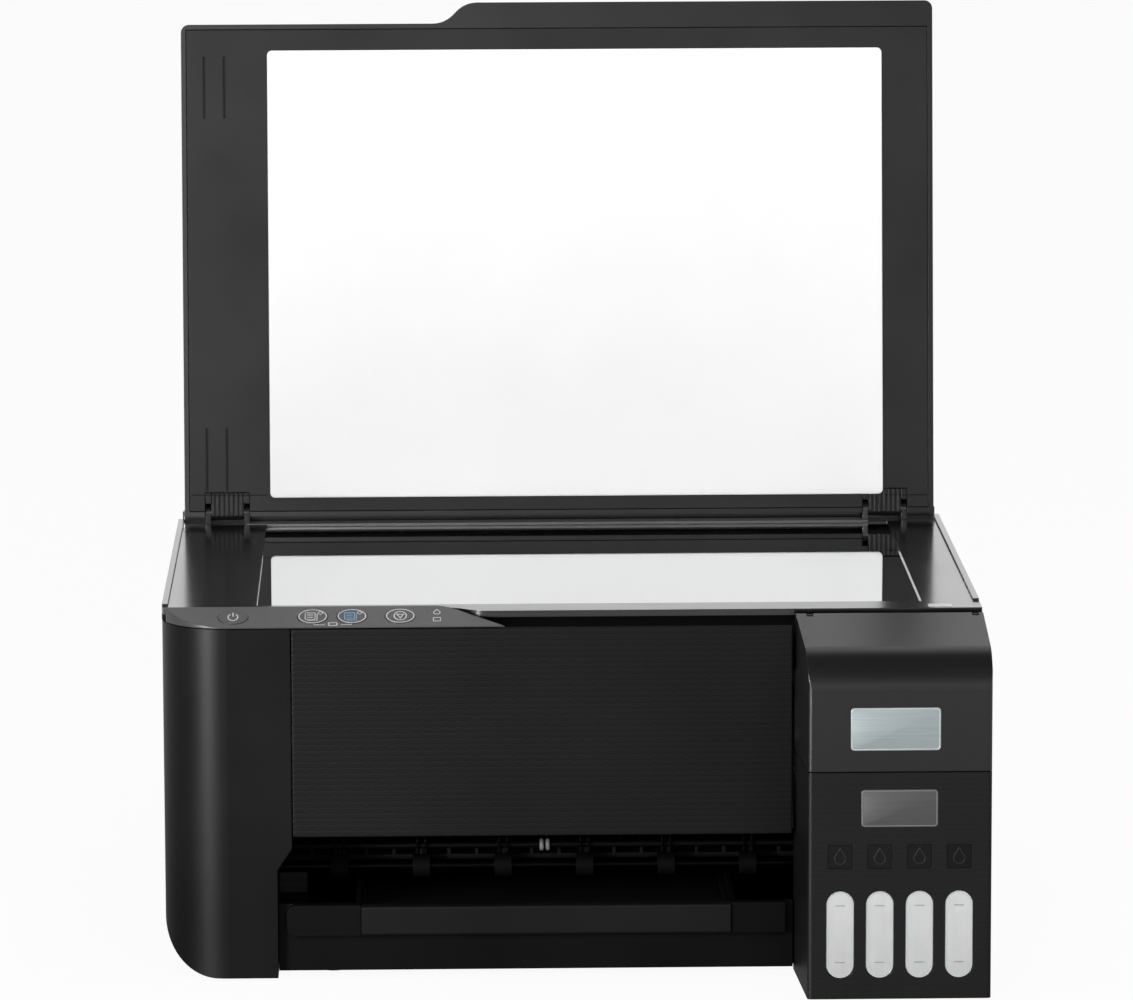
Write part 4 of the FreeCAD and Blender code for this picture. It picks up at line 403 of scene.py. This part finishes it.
# Electronics: a green fibreglass board with copper runs and dark components, and the mains supply in
# its flame-retardant black case. Both lie on the floor behind the carriage.
def board_finish():
    """Lacquered board with copper runs; anything standing on it is dark."""
    made, place = new_finish("board_lacquer", {"Specular IOR Level": 0.5})
    x, y, z = place.axes()
    standing = z.over(0.0119)
    runs = place.node("ShaderNodeTexBrick", {"offset": 0.37},
                      {"Vector": place, "Scale": 120.0, "Mortar Size": 0.045}, "Fac")
    speck = place.noise(400, 4)
    lacquer = runs.blend((0.01, 0.07, 0.028, 1), (0.05, 0.16, 0.06, 1))
    part = speck.shade((0.35, grey(0.015)), (0.65, grey(0.06)))
    return lay(made, {"Base Color": standing.blend(lacquer, part), "Roughness": 0.32 + standing * 0.2,
                      "Normal": relief(runs + speck * 0.3, strength=0.15, depth=0.0001, edge=0.0002)})


station_grey = moulded("station_grey", grey(0.035), roughness=0.55, specular=0.3)
dress(board_finish(), "main_board")
dress(station_grey, "power_supply")


# Sockets at the back: the two-pin mains inlet in black resin and the square data socket in a plated
# shell. Both stand in gaps of the rear cover, with no cord in them.
def plated_shell():
    """Tin-plated socket shell round a pale tongue."""
    made, place = new_finish("socket_shell", {"Specular IOR Level": 0.4})
    low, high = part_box("usb_port")
    x, y, z = place.axes()
    across = (x - (low[0] + high[0]) / 2) ** 2.0
    tall = (z - (low[2] + high[2]) / 2) ** 2.0
    shell = across.over(0.0035 ** 2).maths("MAXIMUM", across.over(0.0035 ** 2), tall.over(0.003 ** 2))
    speck = place.noise(300, 4)
    tongue = speck.shade((0.3, grey(0.5)), (0.7, grey(0.66)))
    tin = speck.shade((0.3, grey(0.42)), (0.7, grey(0.56)))
    return lay(made, {"Base Color": shell.blend(tongue, tin), "Metallic": shell,
                      "Roughness": 0.45 - shell * 0.15,
                      "Normal": relief(speck, strength=0.06, depth=0.0001, edge=0.0003)})


dress(moulded("inlet_black", grey(0.012), roughness=0.42, specular=0.35), "ac_inlet")
dress(plated_shell(), "usb_port")


# Rear cover: black moulded back wall with vents, with the deck round the paper slot. A bare plate marks
# where the rating plate sits, and four cross-head screws hold the wall to the case.
rear_black = moulded("rear_black", grey(0.009), roughness=0.55, grain=0.4)
dress(rear_black, "rear_cover")
rear_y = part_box("rear_cover")[1][1] * 1000
back_wall = spot((0, rear_y, 0), (-1, 0, 0), (0, 0, 1))
plate_corners = (58, 84, 122, 118)
form = bmesh.new()
slab(form, outline_box(*plate_corners, radius=2), (0, -0.05), (0, 0.05), (0.15, 0.12))
plate_satin = moulded("plate_satin", grey(0.2), roughness=0.34, specular=0.4, grain=0.05, spread=0.05)
set_piece("rating_plate_bare", form, back_wall, plate_satin, "chassis")
screw_xs, screw_heights, screw_radius, cross_half = (-168, 168), (40, 128), 3.4, 1.9
form = bmesh.new()
for x in screw_xs:
    for z in screw_heights:
        head = Vector((x, z))
        slab(form, circle(x, z, screw_radius, steps=32), (0, -0.3), (0, 0.05), (0.4, 0.22), (1.6, 0.26))
        for turn in (0, 90):
            tip = Vector((math.cos(math.radians(turn)), math.sin(math.radians(turn)))) * cross_half
            stroke(form, [head - tip, head + tip], width=0.7, low=0.1, high=0.3)
set_piece("rear_screws", form, back_wall, screw_steel, "chassis")


# Paper feed: black hopper behind the scanner with its slanting paper plane, the sliding support, the
# edge guide, and the flap over the slot. All are moulded; the guide is a lighter grey than the rest.
feed_black = moulded("feed_black", grey(0.010), roughness=0.5, specular=0.25)
guide_grey = moulded("guide_grey", grey(0.045), roughness=0.45, specular=0.3)
dress(feed_black, "rear_feed_hopper", "paper_support", "feeder_guard")
dress(guide_grey, "edge_guide")


# Side covers: the left one wraps the rounded column at the front, the right one is a plain wall behind
# the tanks. Black, with a satin finer than the case's, so the column catches a soft highlight.
side_satin = moulded("side_satin", grey(0.004), roughness=0.38, specular=0.12, grain=0.12)
dress(side_satin, "left_side_cover", "right_side_cover")


# Front panel: black moulded panel over the paper exit, its face covered with fine rows of shallow
# waves cut into the tool. Its middle is left bare.
row_pitch, wave_length, wave_rise = 0.00265, 0.0056, 0.1


def waved(name, colour, roughness, specular, depth, groove_shade_and_gloss):
    """Moulded plastic with rows of shallow waves, which run on over a bend; their grooves are painted
    darker as shade.
    """
    made, place = new_finish(name, {"Specular IOR Level": specular})
    x, y, z = place.axes()
    sway = (x * (2 * math.pi / wave_length)).sine() * wave_rise
    rows = (((z - y) / row_pitch + sway) * (2 * math.pi)).sine()
    cloud = place.noise(14, 4)
    spark = place.noise(1400, 2)
    groove = (rows * 0.5 + 0.5) ** 5.0
    # The grooves are painted darker than the crests, as the shade that falls in them.
    cloud_and_groove_shade = cloud * 0.5 + 0.5 - groove * groove_shade_and_gloss
    tone = cloud_and_groove_shade.shade((0.15, [c * 0.55 for c in colour]), (0.9, [c * 1.2 for c in colour]))
    return lay(made, {"Base Color": tone,
                      "Roughness": roughness + rows * (0.08 * groove_shade_and_gloss) + (cloud - 0.5) * 0.1,
                      "Normal": relief(spark * 0.3 - groove, strength=depth, depth=0.0002)})


panel_waves = waved("panel_waves", grey(0.0064), roughness=0.44, specular=0.1, depth=0.22, groove_shade_and_gloss=0.65)
dress(panel_waves, "front_panel")


# Output tray: two black moulded stages that slide out of the case; the second one's bar closes the slot
# at the front, and a small flap at its end stops the sheets.
tray_black = moulded("tray_black", grey(0.005), roughness=0.46, specular=0.11)
dress(tray_black, "output_tray", "tray_extension", "paper_stopper")


# Tank unit: the black housing with four windows, waved like the front panel, holds four tanks of milky
# polypropylene. A shallow square over each window carries a raised drop as its mark.
housing_waves = waved("housing_waves", grey(0.0072), roughness=0.42, specular=0.17, depth=0.1, groove_shade_and_gloss=0.4)
dress(housing_waves, "tank_housing")
window_low, window_tall = 0.0109, 0.0406


def milky():
    """Translucent tank wall, faintly streaked and a little grey low down; z is in metres."""
    made, place = new_finish("tank_milk", {"Specular IOR Level": 0.5, "Subsurface Weight": 0.35,
                                           "Subsurface Scale": 0.004})
    x, y, z = place.axes()
    cloud = place.noise(120, 5)
    flow = place.node("ShaderNodeMapping", None, {"Vector": place, "Scale": (300, 300, 25)}).noise(1.0, 3)
    depth = (z - window_low) / window_tall
    tone = (depth * 0.35 + cloud * 0.35 + flow * 0.3).shade((0.2, (0.47, 0.475, 0.475)),
                                                            (0.75, (0.6, 0.605, 0.6)))
    return lay(made, {"Base Color": tone, "Roughness": 0.34 + (flow - 0.5) * 0.2,
                      "Normal": relief(flow, strength=0.1, depth=0.0002, edge=0.0008)})


dress(milky(), "ink_tanks")
front_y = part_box("tank_housing")[0][1] * 1000
tank_front = spot((0, front_y, 0), (1, 0, 0), (0, 0, 1))
window_xs = (119.15, 137.05, 154.95, 172.85)
mark_low, mark_high, square_half, drop_radius = 61.6, 72.7, 5.55, 2.5
mid = (mark_low + mark_high) / 2
form = bmesh.new()
for x in window_xs:
    drop = circle(x, mid - 0.9, drop_radius, steps=22, start=-215, sweep=250) + [Vector((x, mid + 3.9))]
    band(form, drop, width=0.7, low=-0.32, high=-0.06)
mark_grey = moulded("mark_grey", grey(0.012), roughness=0.5, specular=0.2)
set_piece("tank_drop_marks", form, tank_front, mark_grey, "chassis")
form = bmesh.new()
for x in window_xs:
    square = outline_box(x - square_half, mark_low + 0.05, x + square_half, mark_high - 0.05,
                         radius=0.5, steps=4)
    slab(form, square, (0, -0.4), (0, -0.24))
mark_dark = moulded("mark_dark", grey(0.003), roughness=0.5, specular=0.14)
set_piece("tank_mark_squares", form, tank_front, mark_dark, "chassis")
tick_half, tick_heights = 2.2, (18.4, 44.6)
form = bmesh.new()
for x in window_xs:
    for z in tick_heights:
        stroke(form, [(x - tick_half, z), (x + tick_half, z)], width=0.35, low=-0.35, high=-0.22)
tick_grey = moulded("tick_grey", grey(0.3), roughness=0.5, specular=0.4)
set_piece("tank_level_ticks", form, tank_front, tick_grey, "chassis")
# Pale glossy bands round the windows are a painted highlight along the windows' rounded edges.
rim_half, rim_low, rim_high, rim_round = 5.75, 11.6, 50.8, 5.7
form = bmesh.new()
for x in window_xs:
    rim = outline_box(x - rim_half, rim_low, x + rim_half, rim_high, radius=rim_round, steps=10)
    band(form, rim, width=0.45, low=-0.4, high=-0.12)
rim_highlight = moulded("rim_highlight", grey(0.6), roughness=0.25, specular=0.5, grain=0.05, spread=0.04)
set_piece("tank_window_rim_highlights", form, tank_front, rim_highlight, "chassis")


# Tank caps: four push-in caps in the ink's own colours, each with a pull tab, moulded in soft
# polyethylene.
cap_colours = {"black": grey(0.02), "yellow": (0.72, 0.52, 0.02), "magenta": (0.55, 0.02, 0.2),
               "cyan": (0.01, 0.28, 0.55)}
for tint, colour in cap_colours.items():
    soft_cap = moulded("cap_" + tint, colour, roughness=0.48, specular=0.4, grain=0.2, spread=0.1)
    dress(soft_cap, "tank_cap_" + tint)


# Tank cover: the hinged black hood over the caps, its top sloping forward and bending down into the
# front. Two bare metallised plates are bonded on, one to the hood and one to the housing below.
cover_waves = waved("cover_waves", grey(0.005), roughness=0.3, specular=0.48, depth=0.005, groove_shade_and_gloss=0.08)
dress(cover_waves, "ink_tank_cover")


def metallised(name, colour, roughness):
    """Brushed metallised film under a clear coat."""
    made, place = new_finish(name, {"Metallic": 0.2, "Coat Roughness": 0.2, "Specular IOR Level": 0.25,
                                    "Coat Weight": 0.1})
    drawn = place.node("ShaderNodeMapping", None, {"Vector": place, "Scale": (40, 900, 1600)}).noise(1.0, 4)
    tone = drawn.shade((0.3, [c * 0.92 for c in colour]), (0.7, [min(1.0, c * 1.06) for c in colour]))
    return lay(made, {"Base Color": tone, "Roughness": roughness + (drawn - 0.5) * 0.12,
                      "Normal": relief(drawn, strength=0.04, depth=0.0001, edge=0.0003)})


silver_film = metallised("silver_film", (0.32, 0.365, 0.375), roughness=0.4)
pale_film = metallised("pale_film", (0.5, 0.54, 0.54), roughness=0.34)
smoke_film = metallised("smoke_film", (0.085, 0.085, 0.085), roughness=0.46)
smoke_edge = metallised("smoke_edge", (0.17, 0.17, 0.17), roughness=0.38)
for name, corners, body, film, rim, node in (
        ("cover_plate", (123.7, 115.9, 164.2, 135.4), "tank_cover",
         silver_film, pale_film, "ink_tank_cover"),
        ("housing_plate", (128.5, 80.8, 163.1, 97.9), "chassis",
         smoke_film, smoke_edge, "tank_housing")):
    edge = outline_box(*corners, radius=1.6)
    form = bmesh.new()
    slab(form, edge, (0, -0.05), (0, 0.04), (0.1, 0.1))
    set_piece(name + "_bare", form, tank_front, film, body)
    form = bmesh.new()
    band(form, drawn_in(edge, 0.55), width=0.6, low=0.05, high=0.15)
    set_piece(name + "_rim", form, tank_front, rim, body)


# Scanner: a black tray under a lacquered bezel, with the glass bonded beneath its window and the scanning
# bar on a steel rail below. The unit swings on steel pins. A low wall and a grey bar close the bezel at
# the rear, and a small metallised clip is pressed into its front corner.
def glass_plate():
    """Clear plate that mirrors the lid at a low angle and shows the tray from above."""
    made, place = new_finish("scan_glass", {"Roughness": 0.03, "Specular IOR Level": 0.5, "IOR": 1.52,
                                            "Alpha": 0.3})
    smear = place.noise(9, 5)
    tone = smear.shade((0.3, (0.012, 0.015, 0.015)), (0.7, (0.02, 0.024, 0.023)))
    lay(made, {"Base Color": tone})
    tree = made.node_tree
    facing = place.node("ShaderNodeLayerWeight", None, {"Blend": 0.5}, "Facing")
    sheen = facing.shade((0, grey(0.04)), (0.45, grey(0.1)), (0.7, grey(0.32)), (0.83, grey(0.93)),
                         (1, grey(1)))
    mirror = place.node("ShaderNodeBsdfAnisotropic", None,
                        {"Color": (0.93, 0.935, 0.935, 1), "Roughness": 0.02})
    body = Wire(tree, tree.nodes["Principled BSDF"].outputs[0])
    both = place.node("ShaderNodeMixShader", None, {"Fac": sheen, "Shader": body,
                                                    "Shader_001": mirror})
    tree.links.new(both.socket, tree.nodes["Material Output"].inputs["Surface"])
    return made


bezel_gloss = moulded("bezel_gloss", grey(0.0035), roughness=0.2, specular=0.5, grain=0.03, coat=0.7)
dress(case_black, "scanner_base")
dress(bezel_gloss, "scanner_bezel")
dress(glass_plate(), "scanner_glass")
dress(station_grey, "cis_module")
dress(rail_steel, "cis_rail", "scanner_hinge_pins")
bezel_top = 170.2
bezel_face = spot((0, 0, bezel_top), (1, 0, 0), (0, 1, 0))
wall_corners, wall_height = (-185.4, 140.6, 185.4, 146.8), 5.0
form = bmesh.new()
slab(form, outline_box(*wall_corners, radius=1.0), (0, -0.2), (0, wall_height - 0.4), (0.4, wall_height))
set_piece("bezel_rear_wall", form, bezel_face, bezel_gloss, "scanner_unit")
bar_corners, flange_corners = (-154, 131, 152, 139.4), (-143.8, 129.8, 151.8, 131.4)
form = bmesh.new()
slab(form, outline_box(*bar_corners, radius=0.8), (0, -0.6), (0, 0.1), (0.3, 0.3))
slab(form, outline_box(*flange_corners, radius=0.3, steps=3), (0, -1.1), (0, 0.15), (0.15, 0.29))
bar_satin = moulded("bar_satin", grey(0.09), roughness=0.42, specular=0.3)
set_piece("bezel_rear_bar", form, bezel_face, bar_satin, "scanner_unit")
clip_corners, tongue_corners = (163.2, -110.5, 174.2, -104.5), (165.5, -108.8, 172, -106.2)
form = bmesh.new()
slab(form, outline_box(*clip_corners, radius=0.8), (0, -0.3), (0, 0.15), (0.15, 0.25))
slab(form, outline_box(*tongue_corners, radius=0.5), (0, 0.2), (0, 0.32), (0.12, 0.4))
clip_silver = metallised("clip_silver", (0.62, 0.63, 0.63), roughness=0.3)
set_piece("bezel_clip", form, bezel_face, clip_silver, "scanner_unit")


# Control panel: a sloping satin-grey strip along the scanner's front with four round keys. Rings and
# plain symbols are printed in white on each key, with two small status marks beside them.
panel_satin = moulded("panel_satin", grey(0.068), roughness=0.36, specular=0.34, grain=0.1, spread=0.08)
key_satin = moulded("key_satin", grey(0.06), roughness=0.34, specular=0.34, grain=0.1, spread=0.08)
dress(panel_satin, "control_panel")
dress(key_satin, "button_power", "button_copy_mono", "button_copy_colour", "button_stop")


def ink(name, colour):
    """Screen-printed ink, slightly uneven."""
    return moulded(name, colour, roughness=0.5, specular=0.3, grain=0.08, spread=0.06)


def taller(points):
    """Symbols are drawn tall, so that they read upright from the front."""
    return [Vector((p[0], p[1] * 1.45)) for p in points]


white_ink = ink("white_ink", grey(0.62))
dim_ink = ink("dim_ink", grey(0.1))
blue_ink = ink("blue_ink", (0.16, 0.4, 0.62))
slope, key_row, key_level = math.radians(18.07), -114, 168.1


def panel_at(x):
    """Place on the panel's slope, in the row of the keys."""
    return spot((x, key_row, key_level), (1, 0, 0), (0, math.cos(slope), math.sin(slope)))


key_node = {"power_key": "button_power", "mono_key": "button_copy_mono",
            "colour_key": "button_copy_colour", "stop_key": "button_stop"}
key_spot = {}
ring_radius, ink_low, ink_high = 6.25, 0.12, 0.26
for body, node in key_node.items():
    low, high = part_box(node)
    key_spot[body] = panel_at((low[0] + high[0]) / 2 * 1000)
    tone, line = (dim_ink, 0.36) if body == "power_key" else (white_ink, 0.5)
    form = bmesh.new()
    band(form, circle(0, 0, ring_radius, steps=56), width=line, low=ink_low, high=ink_high)
    set_piece(body + "_ring", form, key_spot[body], tone, body)

form = bmesh.new()
arc = circle(0, -0.2, 2.2, steps=24, start=125, sweep=290)
stroke(form, taller(arc), width=0.55, low=ink_low, high=ink_high)
stroke(form, taller([(0, 0.2), (0, 2.7)]), width=0.55, low=ink_low, high=ink_high)
set_piece("power_symbol", form, key_spot["power_key"], white_ink, "power_key")


def sheets(form):
    """Two overlapping sheets, the front one with lines of print."""
    sheet = outline_box(-3.4, -2.0, 1.1, 2.4, radius=0.4, steps=3)
    band(form, taller(sheet), width=0.4, low=ink_low, high=ink_high)
    for y in (-0.8, 0.3, 1.4):
        stroke(form, taller([(-2.6, y), (0.3, y)]), width=0.4, low=ink_low, high=ink_high)
    stroke(form, taller([(2.0, 1.6), (2.0, -2.8), (-2.4, -2.8)]), width=0.45, low=ink_low, high=ink_high)


def start_mark(form):
    """Small diamond of a start key."""
    mid = Vector((3.5, 2.2))
    tips = [mid + Vector(t) for t in ((1.2, 0), (0, 1.1), (-1.2, 0), (0, -1.1))]
    band(form, taller(tips), width=0.36, low=ink_low, high=ink_high)


for body, tone in (("mono_key", white_ink), ("colour_key", blue_ink)):
    form = bmesh.new()
    sheets(form)
    if body == "colour_key":
        slab(form, taller(outline_box(-3.5, -2.8, 2.1, 2.5, radius=0.5, steps=3)),
             (0, ink_low - 0.03), (0, ink_low + 0.06))
    set_piece(body + "_sheets", form, key_spot[body], tone, body)
    form = bmesh.new()
    start_mark(form)
    set_piece(body + "_start", form, key_spot[body], white_ink, body)
form = bmesh.new()
band(form, taller(circle(0, 0, 2.8, steps=32)), width=0.5, low=ink_low, high=ink_high)
band(form, taller([(1.5, 1.0), (-1.5, 1.0), (0, -1.6)]), width=0.5, low=ink_low, high=ink_high)
set_piece("stop_symbol", form, key_spot["stop_key"], white_ink, "stop_key")

panel_spot = panel_at(0)
print_low, print_high = -0.05, 0.06
form = bmesh.new()
stroke(form, [(-117.6, -6.6), (-117.6, -7.8), (-112.6, -7.8)], width=0.4, low=print_low, high=print_high)
stroke(form, [(-105.4, -7.8), (-100.4, -7.8), (-100.4, -6.6)], width=0.4, low=print_low, high=print_high)
page_mark = outline_box(-110.9, -8.5, -107.1, -5.9, radius=0.4, steps=3)
band(form, page_mark, width=0.5, low=print_low, high=print_high)
drop = circle(-61.6, 3.2, 1.5, steps=22, start=-215, sweep=250) + [Vector((-61.6, 6.2))]
band(form, drop, width=0.4, low=print_low, high=print_high)
sheet_mark = outline_box(-63.2, -5.0, -60.0, -1.6, radius=0.3, steps=3)
band(form, sheet_mark, width=0.4, low=print_low, high=print_high)
set_piece("panel_symbols", form, panel_spot, white_ink, "scanner_unit")
form = bmesh.new()
for y in (3.6, -3.2):
    light = outline_box(-68.2, y - 0.6, -65.6, y + 0.6, radius=0.5, steps=4)
    slab(form, light, (0, -0.05), (0, 0.05), (0.1, 0.09))
set_piece("panel_status_lights", form, panel_spot, dim_ink, "scanner_unit")


# Lid: a black moulded shell with a lighter inner panel, hinged along the scanner's rear on two ribbed
# knuckles with steel pins. Two pairs of narrow slots beside the pad are flat dark strips of painted shade
# on the inner panel, each framed by a raised lip.
lid_black = moulded("lid_black", grey(0.0085), roughness=0.42, specular=0.26, grain=0.15)
liner_black = moulded("liner_black", grey(0.0215), roughness=0.38, specular=0.1, grain=0.2)
dress(lid_black, "lid_shell")
dress(liner_black, "lid_liner")
dress(rail_steel, "lid_hinge_pins")
lean = math.radians(6.2)
lid_up = Vector((0, math.sin(lean), math.cos(lean)))
lid_out = Vector((0, -math.cos(lean), math.sin(lean)))
pin_height, pin_depth = middle("lid_hinge_pins")
lid_axis, liner_depth = Vector((0, pin_depth * 1000, pin_height * 1000)), 5
liner_face = spot(lid_axis + lid_out * liner_depth, (1, 0, 0), lid_up)
slot_shade_and_seam = moulded("slot_shade_and_seam", grey(0.003), roughness=0.7, specular=0.1)
slot_xs, slot_spans = (-172.9, -163.1), ((193.4, 223.3), (11.1, 41.6))
slot_half, lip_half, lip_past = 0.3, 0.62, 0.35
# The slots are painted shade, flat strips standing in for the hollows; the seams below are dark joints in
# the same finish.
form = bmesh.new()
lips = bmesh.new()
for x in slot_xs:
    for low, high in slot_spans:
        slot = outline_box(x - slot_half, low, x + slot_half, high, radius=0.28, steps=4)
        slab(form, slot, (0, -0.05), (0, 0.03))
        lip = outline_box(x - lip_half, low - lip_past, x + lip_half, high + lip_past, radius=0.6, steps=5)
        band(lips, lip, width=0.35, low=-0.05, high=0.12)
set_piece("liner_slot_shadows", form, liner_face, slot_shade_and_seam, "document_lid")
set_piece("liner_slot_lips", lips, liner_face, liner_black, "document_lid")
form = bmesh.new()
stroke(form, [(-180.5, 8.7), (-143.5, 8.5)], width=0.45, low=-0.05, high=0.04)
stroke(form, [(160.5, 6.7), (180.5, 6.5)], width=0.45, low=-0.05, high=0.04)
set_piece("liner_seams", form, liner_face, slot_shade_and_seam, "document_lid")


# Hinge covers: two black moulded caps on the lid's outer side that close the gaps behind its knuckles.
# Each is held by a foot on the lid above the gap.
hinge_xs, cap_half, foot_half = (-163, 160), 13.4, 12.4
form = bmesh.new()
for x in hinge_xs:
    slab(form, outline_box(x - cap_half, -1.9, x + cap_half, 8.2, radius=1.2, steps=5),
         (0, -8.95), (0, -9.5), (0.5, -9.9))
    foot = outline_box(x - foot_half, 6.8, x + foot_half, 7.8, radius=0.4, steps=3)
    slab(form, foot, (0, -8.2), (0, -9.1))
set_piece("lid_hinge_covers", form, liner_face, lid_black, "document_lid")


# Hinge ribs: black moulded plates that close the lid's inner panel over its two knuckles, each with
# seven upright ribs. They snap on to the knuckles and swing with the lid.
rib_pitch, rib_half, plate_half, plate_top = 2.3, 0.6, 8, 9.7
wing_reach, wing_half = 9.4, 1.45
form = bmesh.new()
for x in hinge_xs:
    plate = outline_box(x - plate_half, -1.8, x + plate_half, plate_top, radius=0.4, steps=3)
    slab(form, plate, (0, -1.45), (0, -0.9))
    for wing in (x - wing_reach, x + wing_reach):
        slab(form, outline_box(wing - wing_half, 4.4, wing + wing_half, plate_top, radius=0.3, steps=3),
             (0, -1.45), (0, -0.25), (0.15, -0.1))
    for step in range(-3, 4):
        rib = x + rib_pitch * step
        slab(form, outline_box(rib - rib_half, -1.6, rib + rib_half, 9.5, radius=0.3, steps=3),
             (0, -1.0), (0, -0.2), (0.15, -0.06))
set_piece("lid_hinge_ribs", form, liner_face, liner_black, "document_lid")


# Lid pad: a thin sheet of white foam under a smooth white film, stuck to the inner panel. It presses
# the paper flat on the glass, and its edges are softly rounded.
def film_white():
    """Smooth white film over foam, barely uneven."""
    made, place = new_finish("pad_film", {"Specular IOR Level": 0.2})
    cloud = place.noise(10, 4)
    fine = place.noise(500, 2)
    tone = cloud.shade((0.3, grey(0.86)), (0.7, grey(0.9)))
    return lay(made, {"Base Color": tone, "Roughness": 0.6 + (fine - 0.5) * 0.1,
                      "Normal": relief(cloud * 3 + fine * 0.2, strength=0.05, depth=0.0005, edge=0.0005)})


pad_low, pad_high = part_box("lid_pad")
pad_foot, pad_tall = 7.2, 219
pad_edge = outline_box(pad_low[0] * 1000, pad_foot, pad_high[0] * 1000, pad_foot + pad_tall,
                       radius=2.4, steps=8)
form = bmesh.new()
slab(form, pad_edge, (0.25, 0.0), (0.0, 0.25), (0.0, 0.7), (0.15, 0.9), (0.5, 1.02), (1.2, 1.08),
     (2.0, 1.12), (2.3, 1.14))
pad = set_piece("lid_pad_film", form, liner_face, film_white(), "document_lid")
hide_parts("lid_pad")


# Studio: a pale floor that keeps the printer's shadow, a white surround, a wide soft lamp in front, a
# weak one overhead, and a narrow one at the left that only gives glossy faces a highlight. In
# reflections, the floor near the printer and the surround above the camera are dimmer.
floor_mesh = bmesh.new()
bmesh.ops.create_grid(floor_mesh, x_segments=8, y_segments=8, size=6)
mesh = bpy.data.meshes.new("studio_floor")
floor_mesh.to_mesh(mesh)
floor_mesh.free()
floor = bpy.data.objects.new("studio_floor", mesh)
bpy.context.collection.objects.link(floor)


def seen_rays(start):
    """1 for what the camera, glossy surfaces and clear surfaces look at."""
    rays = [start.node("ShaderNodeLightPath", output=f"Is {kind} Ray")
            for kind in ("Camera", "Glossy", "Transmission")]
    return rays[0].maths("MAXIMUM", rays[0], rays[0].maths("MAXIMUM", rays[1], rays[2]))


made, place = new_finish("floor_pale", {"Specular IOR Level": 0.0, "Roughness": 0.9})
cloud = place.noise(3, 3)
lay(made, {"Base Color": cloud.shade((0.3, grey(0.8)), (0.7, grey(0.84)))})
tree = made.node_tree
mirrored = place.node("ShaderNodeLightPath", output="Is Glossy Ray")
x, y, z = place.axes()
away = (x * x + y * y) ** 0.5
glow = mirrored.blend((1, 1, 1, 1), away.shade((0.28, grey(0.25)), (0.85, grey(0.75))))
bright = place.node("ShaderNodeEmission", None, {"Color": glow, "Strength": 1.0})
matt = Wire(tree, tree.nodes["Principled BSDF"].outputs[0])
glow_share = 0.94
both = place.node("ShaderNodeMixShader", None, {"Fac": seen_rays(place) * glow_share, "Shader": matt,
                                                "Shader_001": bright})
tree.links.new(both.socket, tree.nodes["Material Output"].inputs["Surface"])
mesh.materials.append(made)

world = bpy.data.worlds.new("studio_white")
bpy.context.scene.world = world
world.use_nodes = True
tree = world.node_tree
backdrop = tree.nodes["Background"]
backdrop.inputs["Color"].default_value = (1, 1, 1, 1)
ambient = 0.42
start = Wire(tree, backdrop.outputs[0])
x, y, z = start.node("ShaderNodeTexCoord", output="Generated").axes()
mirrored = start.node("ShaderNodeLightPath", output="Is Glossy Ray")
flagged = (mirrored * z.shade((0.15, grey(0)), (0.35, grey(0.9)))
           * (0.5 - y).shade((0, grey(0)), (0.3, grey(1))))
seen = seen_rays(start) * (1 - ambient) + ambient
tree.links.new((seen - flagged).socket, backdrop.inputs["Strength"])


def lamp(name, place_at, aim, wide, tall, power, mirrored):
    """Soft rectangular lamp turned to a point; a mirrored one only gives glossy faces a highlight."""
    light = bpy.data.lights.new(name, "AREA")
    light.shape = "RECTANGLE"
    light.size, light.size_y, light.energy = wide, tall, power
    item = bpy.data.objects.new(name, light)
    item.location = place_at
    item.rotation_euler = (Vector(aim) - Vector(place_at)).to_track_quat("-Z", "Y").to_euler()
    item.visible_camera = False
    item.visible_glossy = mirrored
    item.visible_diffuse = not mirrored
    bpy.context.collection.objects.link(item)


lamp("lamp_front", (0.2, -2.7, 1.35), (0, 0, 0.2), wide=2.4, tall=1.4, power=58, mirrored=False)
lamp("lamp_left", (-0.95, -1.2, 0.42), (-0.17, -0.1, 0.1), wide=0.32, tall=0.8, power=66, mirrored=True)
lamp("lamp_top", (0, -0.2, 2.1), (0, 0, 0.15), wide=1.6, tall=1.2, power=12, mirrored=False)


# Camera: a long lens a little above the printer and almost square to it. Its place, its turn and its
# focal length come from a fit to the edges in the photograph.
yaw, pitch, roll = math.radians(-1.339), math.radians(9.25), math.radians(-0.172)
right = Vector((math.cos(yaw), math.sin(yaw), 0))
ahead = Vector((-math.sin(yaw), math.cos(yaw), 0))
upright = Vector((0, 0, 1))
looking = ahead * math.cos(pitch) - upright * math.sin(pitch)
tilted = ahead * math.sin(pitch) + upright * math.cos(pitch)
across = right * math.cos(roll) + tilted * math.sin(roll)
top = tilted * math.cos(roll) - right * math.sin(roll)
focal_pixels, photo_width = 6793.5, 1133
lens = bpy.data.cameras.new("photo_lens")
lens.sensor_fit = "HORIZONTAL"
lens.sensor_width = 36
lens.lens = focal_pixels * lens.sensor_width / photo_width
lens.clip_end = 30
camera = bpy.data.objects.new("photo_camera", lens)
bpy.context.collection.objects.link(camera)
stand = Matrix.Translation((-0.0736, -3.163, 0.7179))
camera.matrix_world = stand @ Matrix((across, top, -looking)).transposed().to_4x4()
bpy.context.scene.camera = camera
bpy.context.scene.view_settings.view_transform = "Standard"
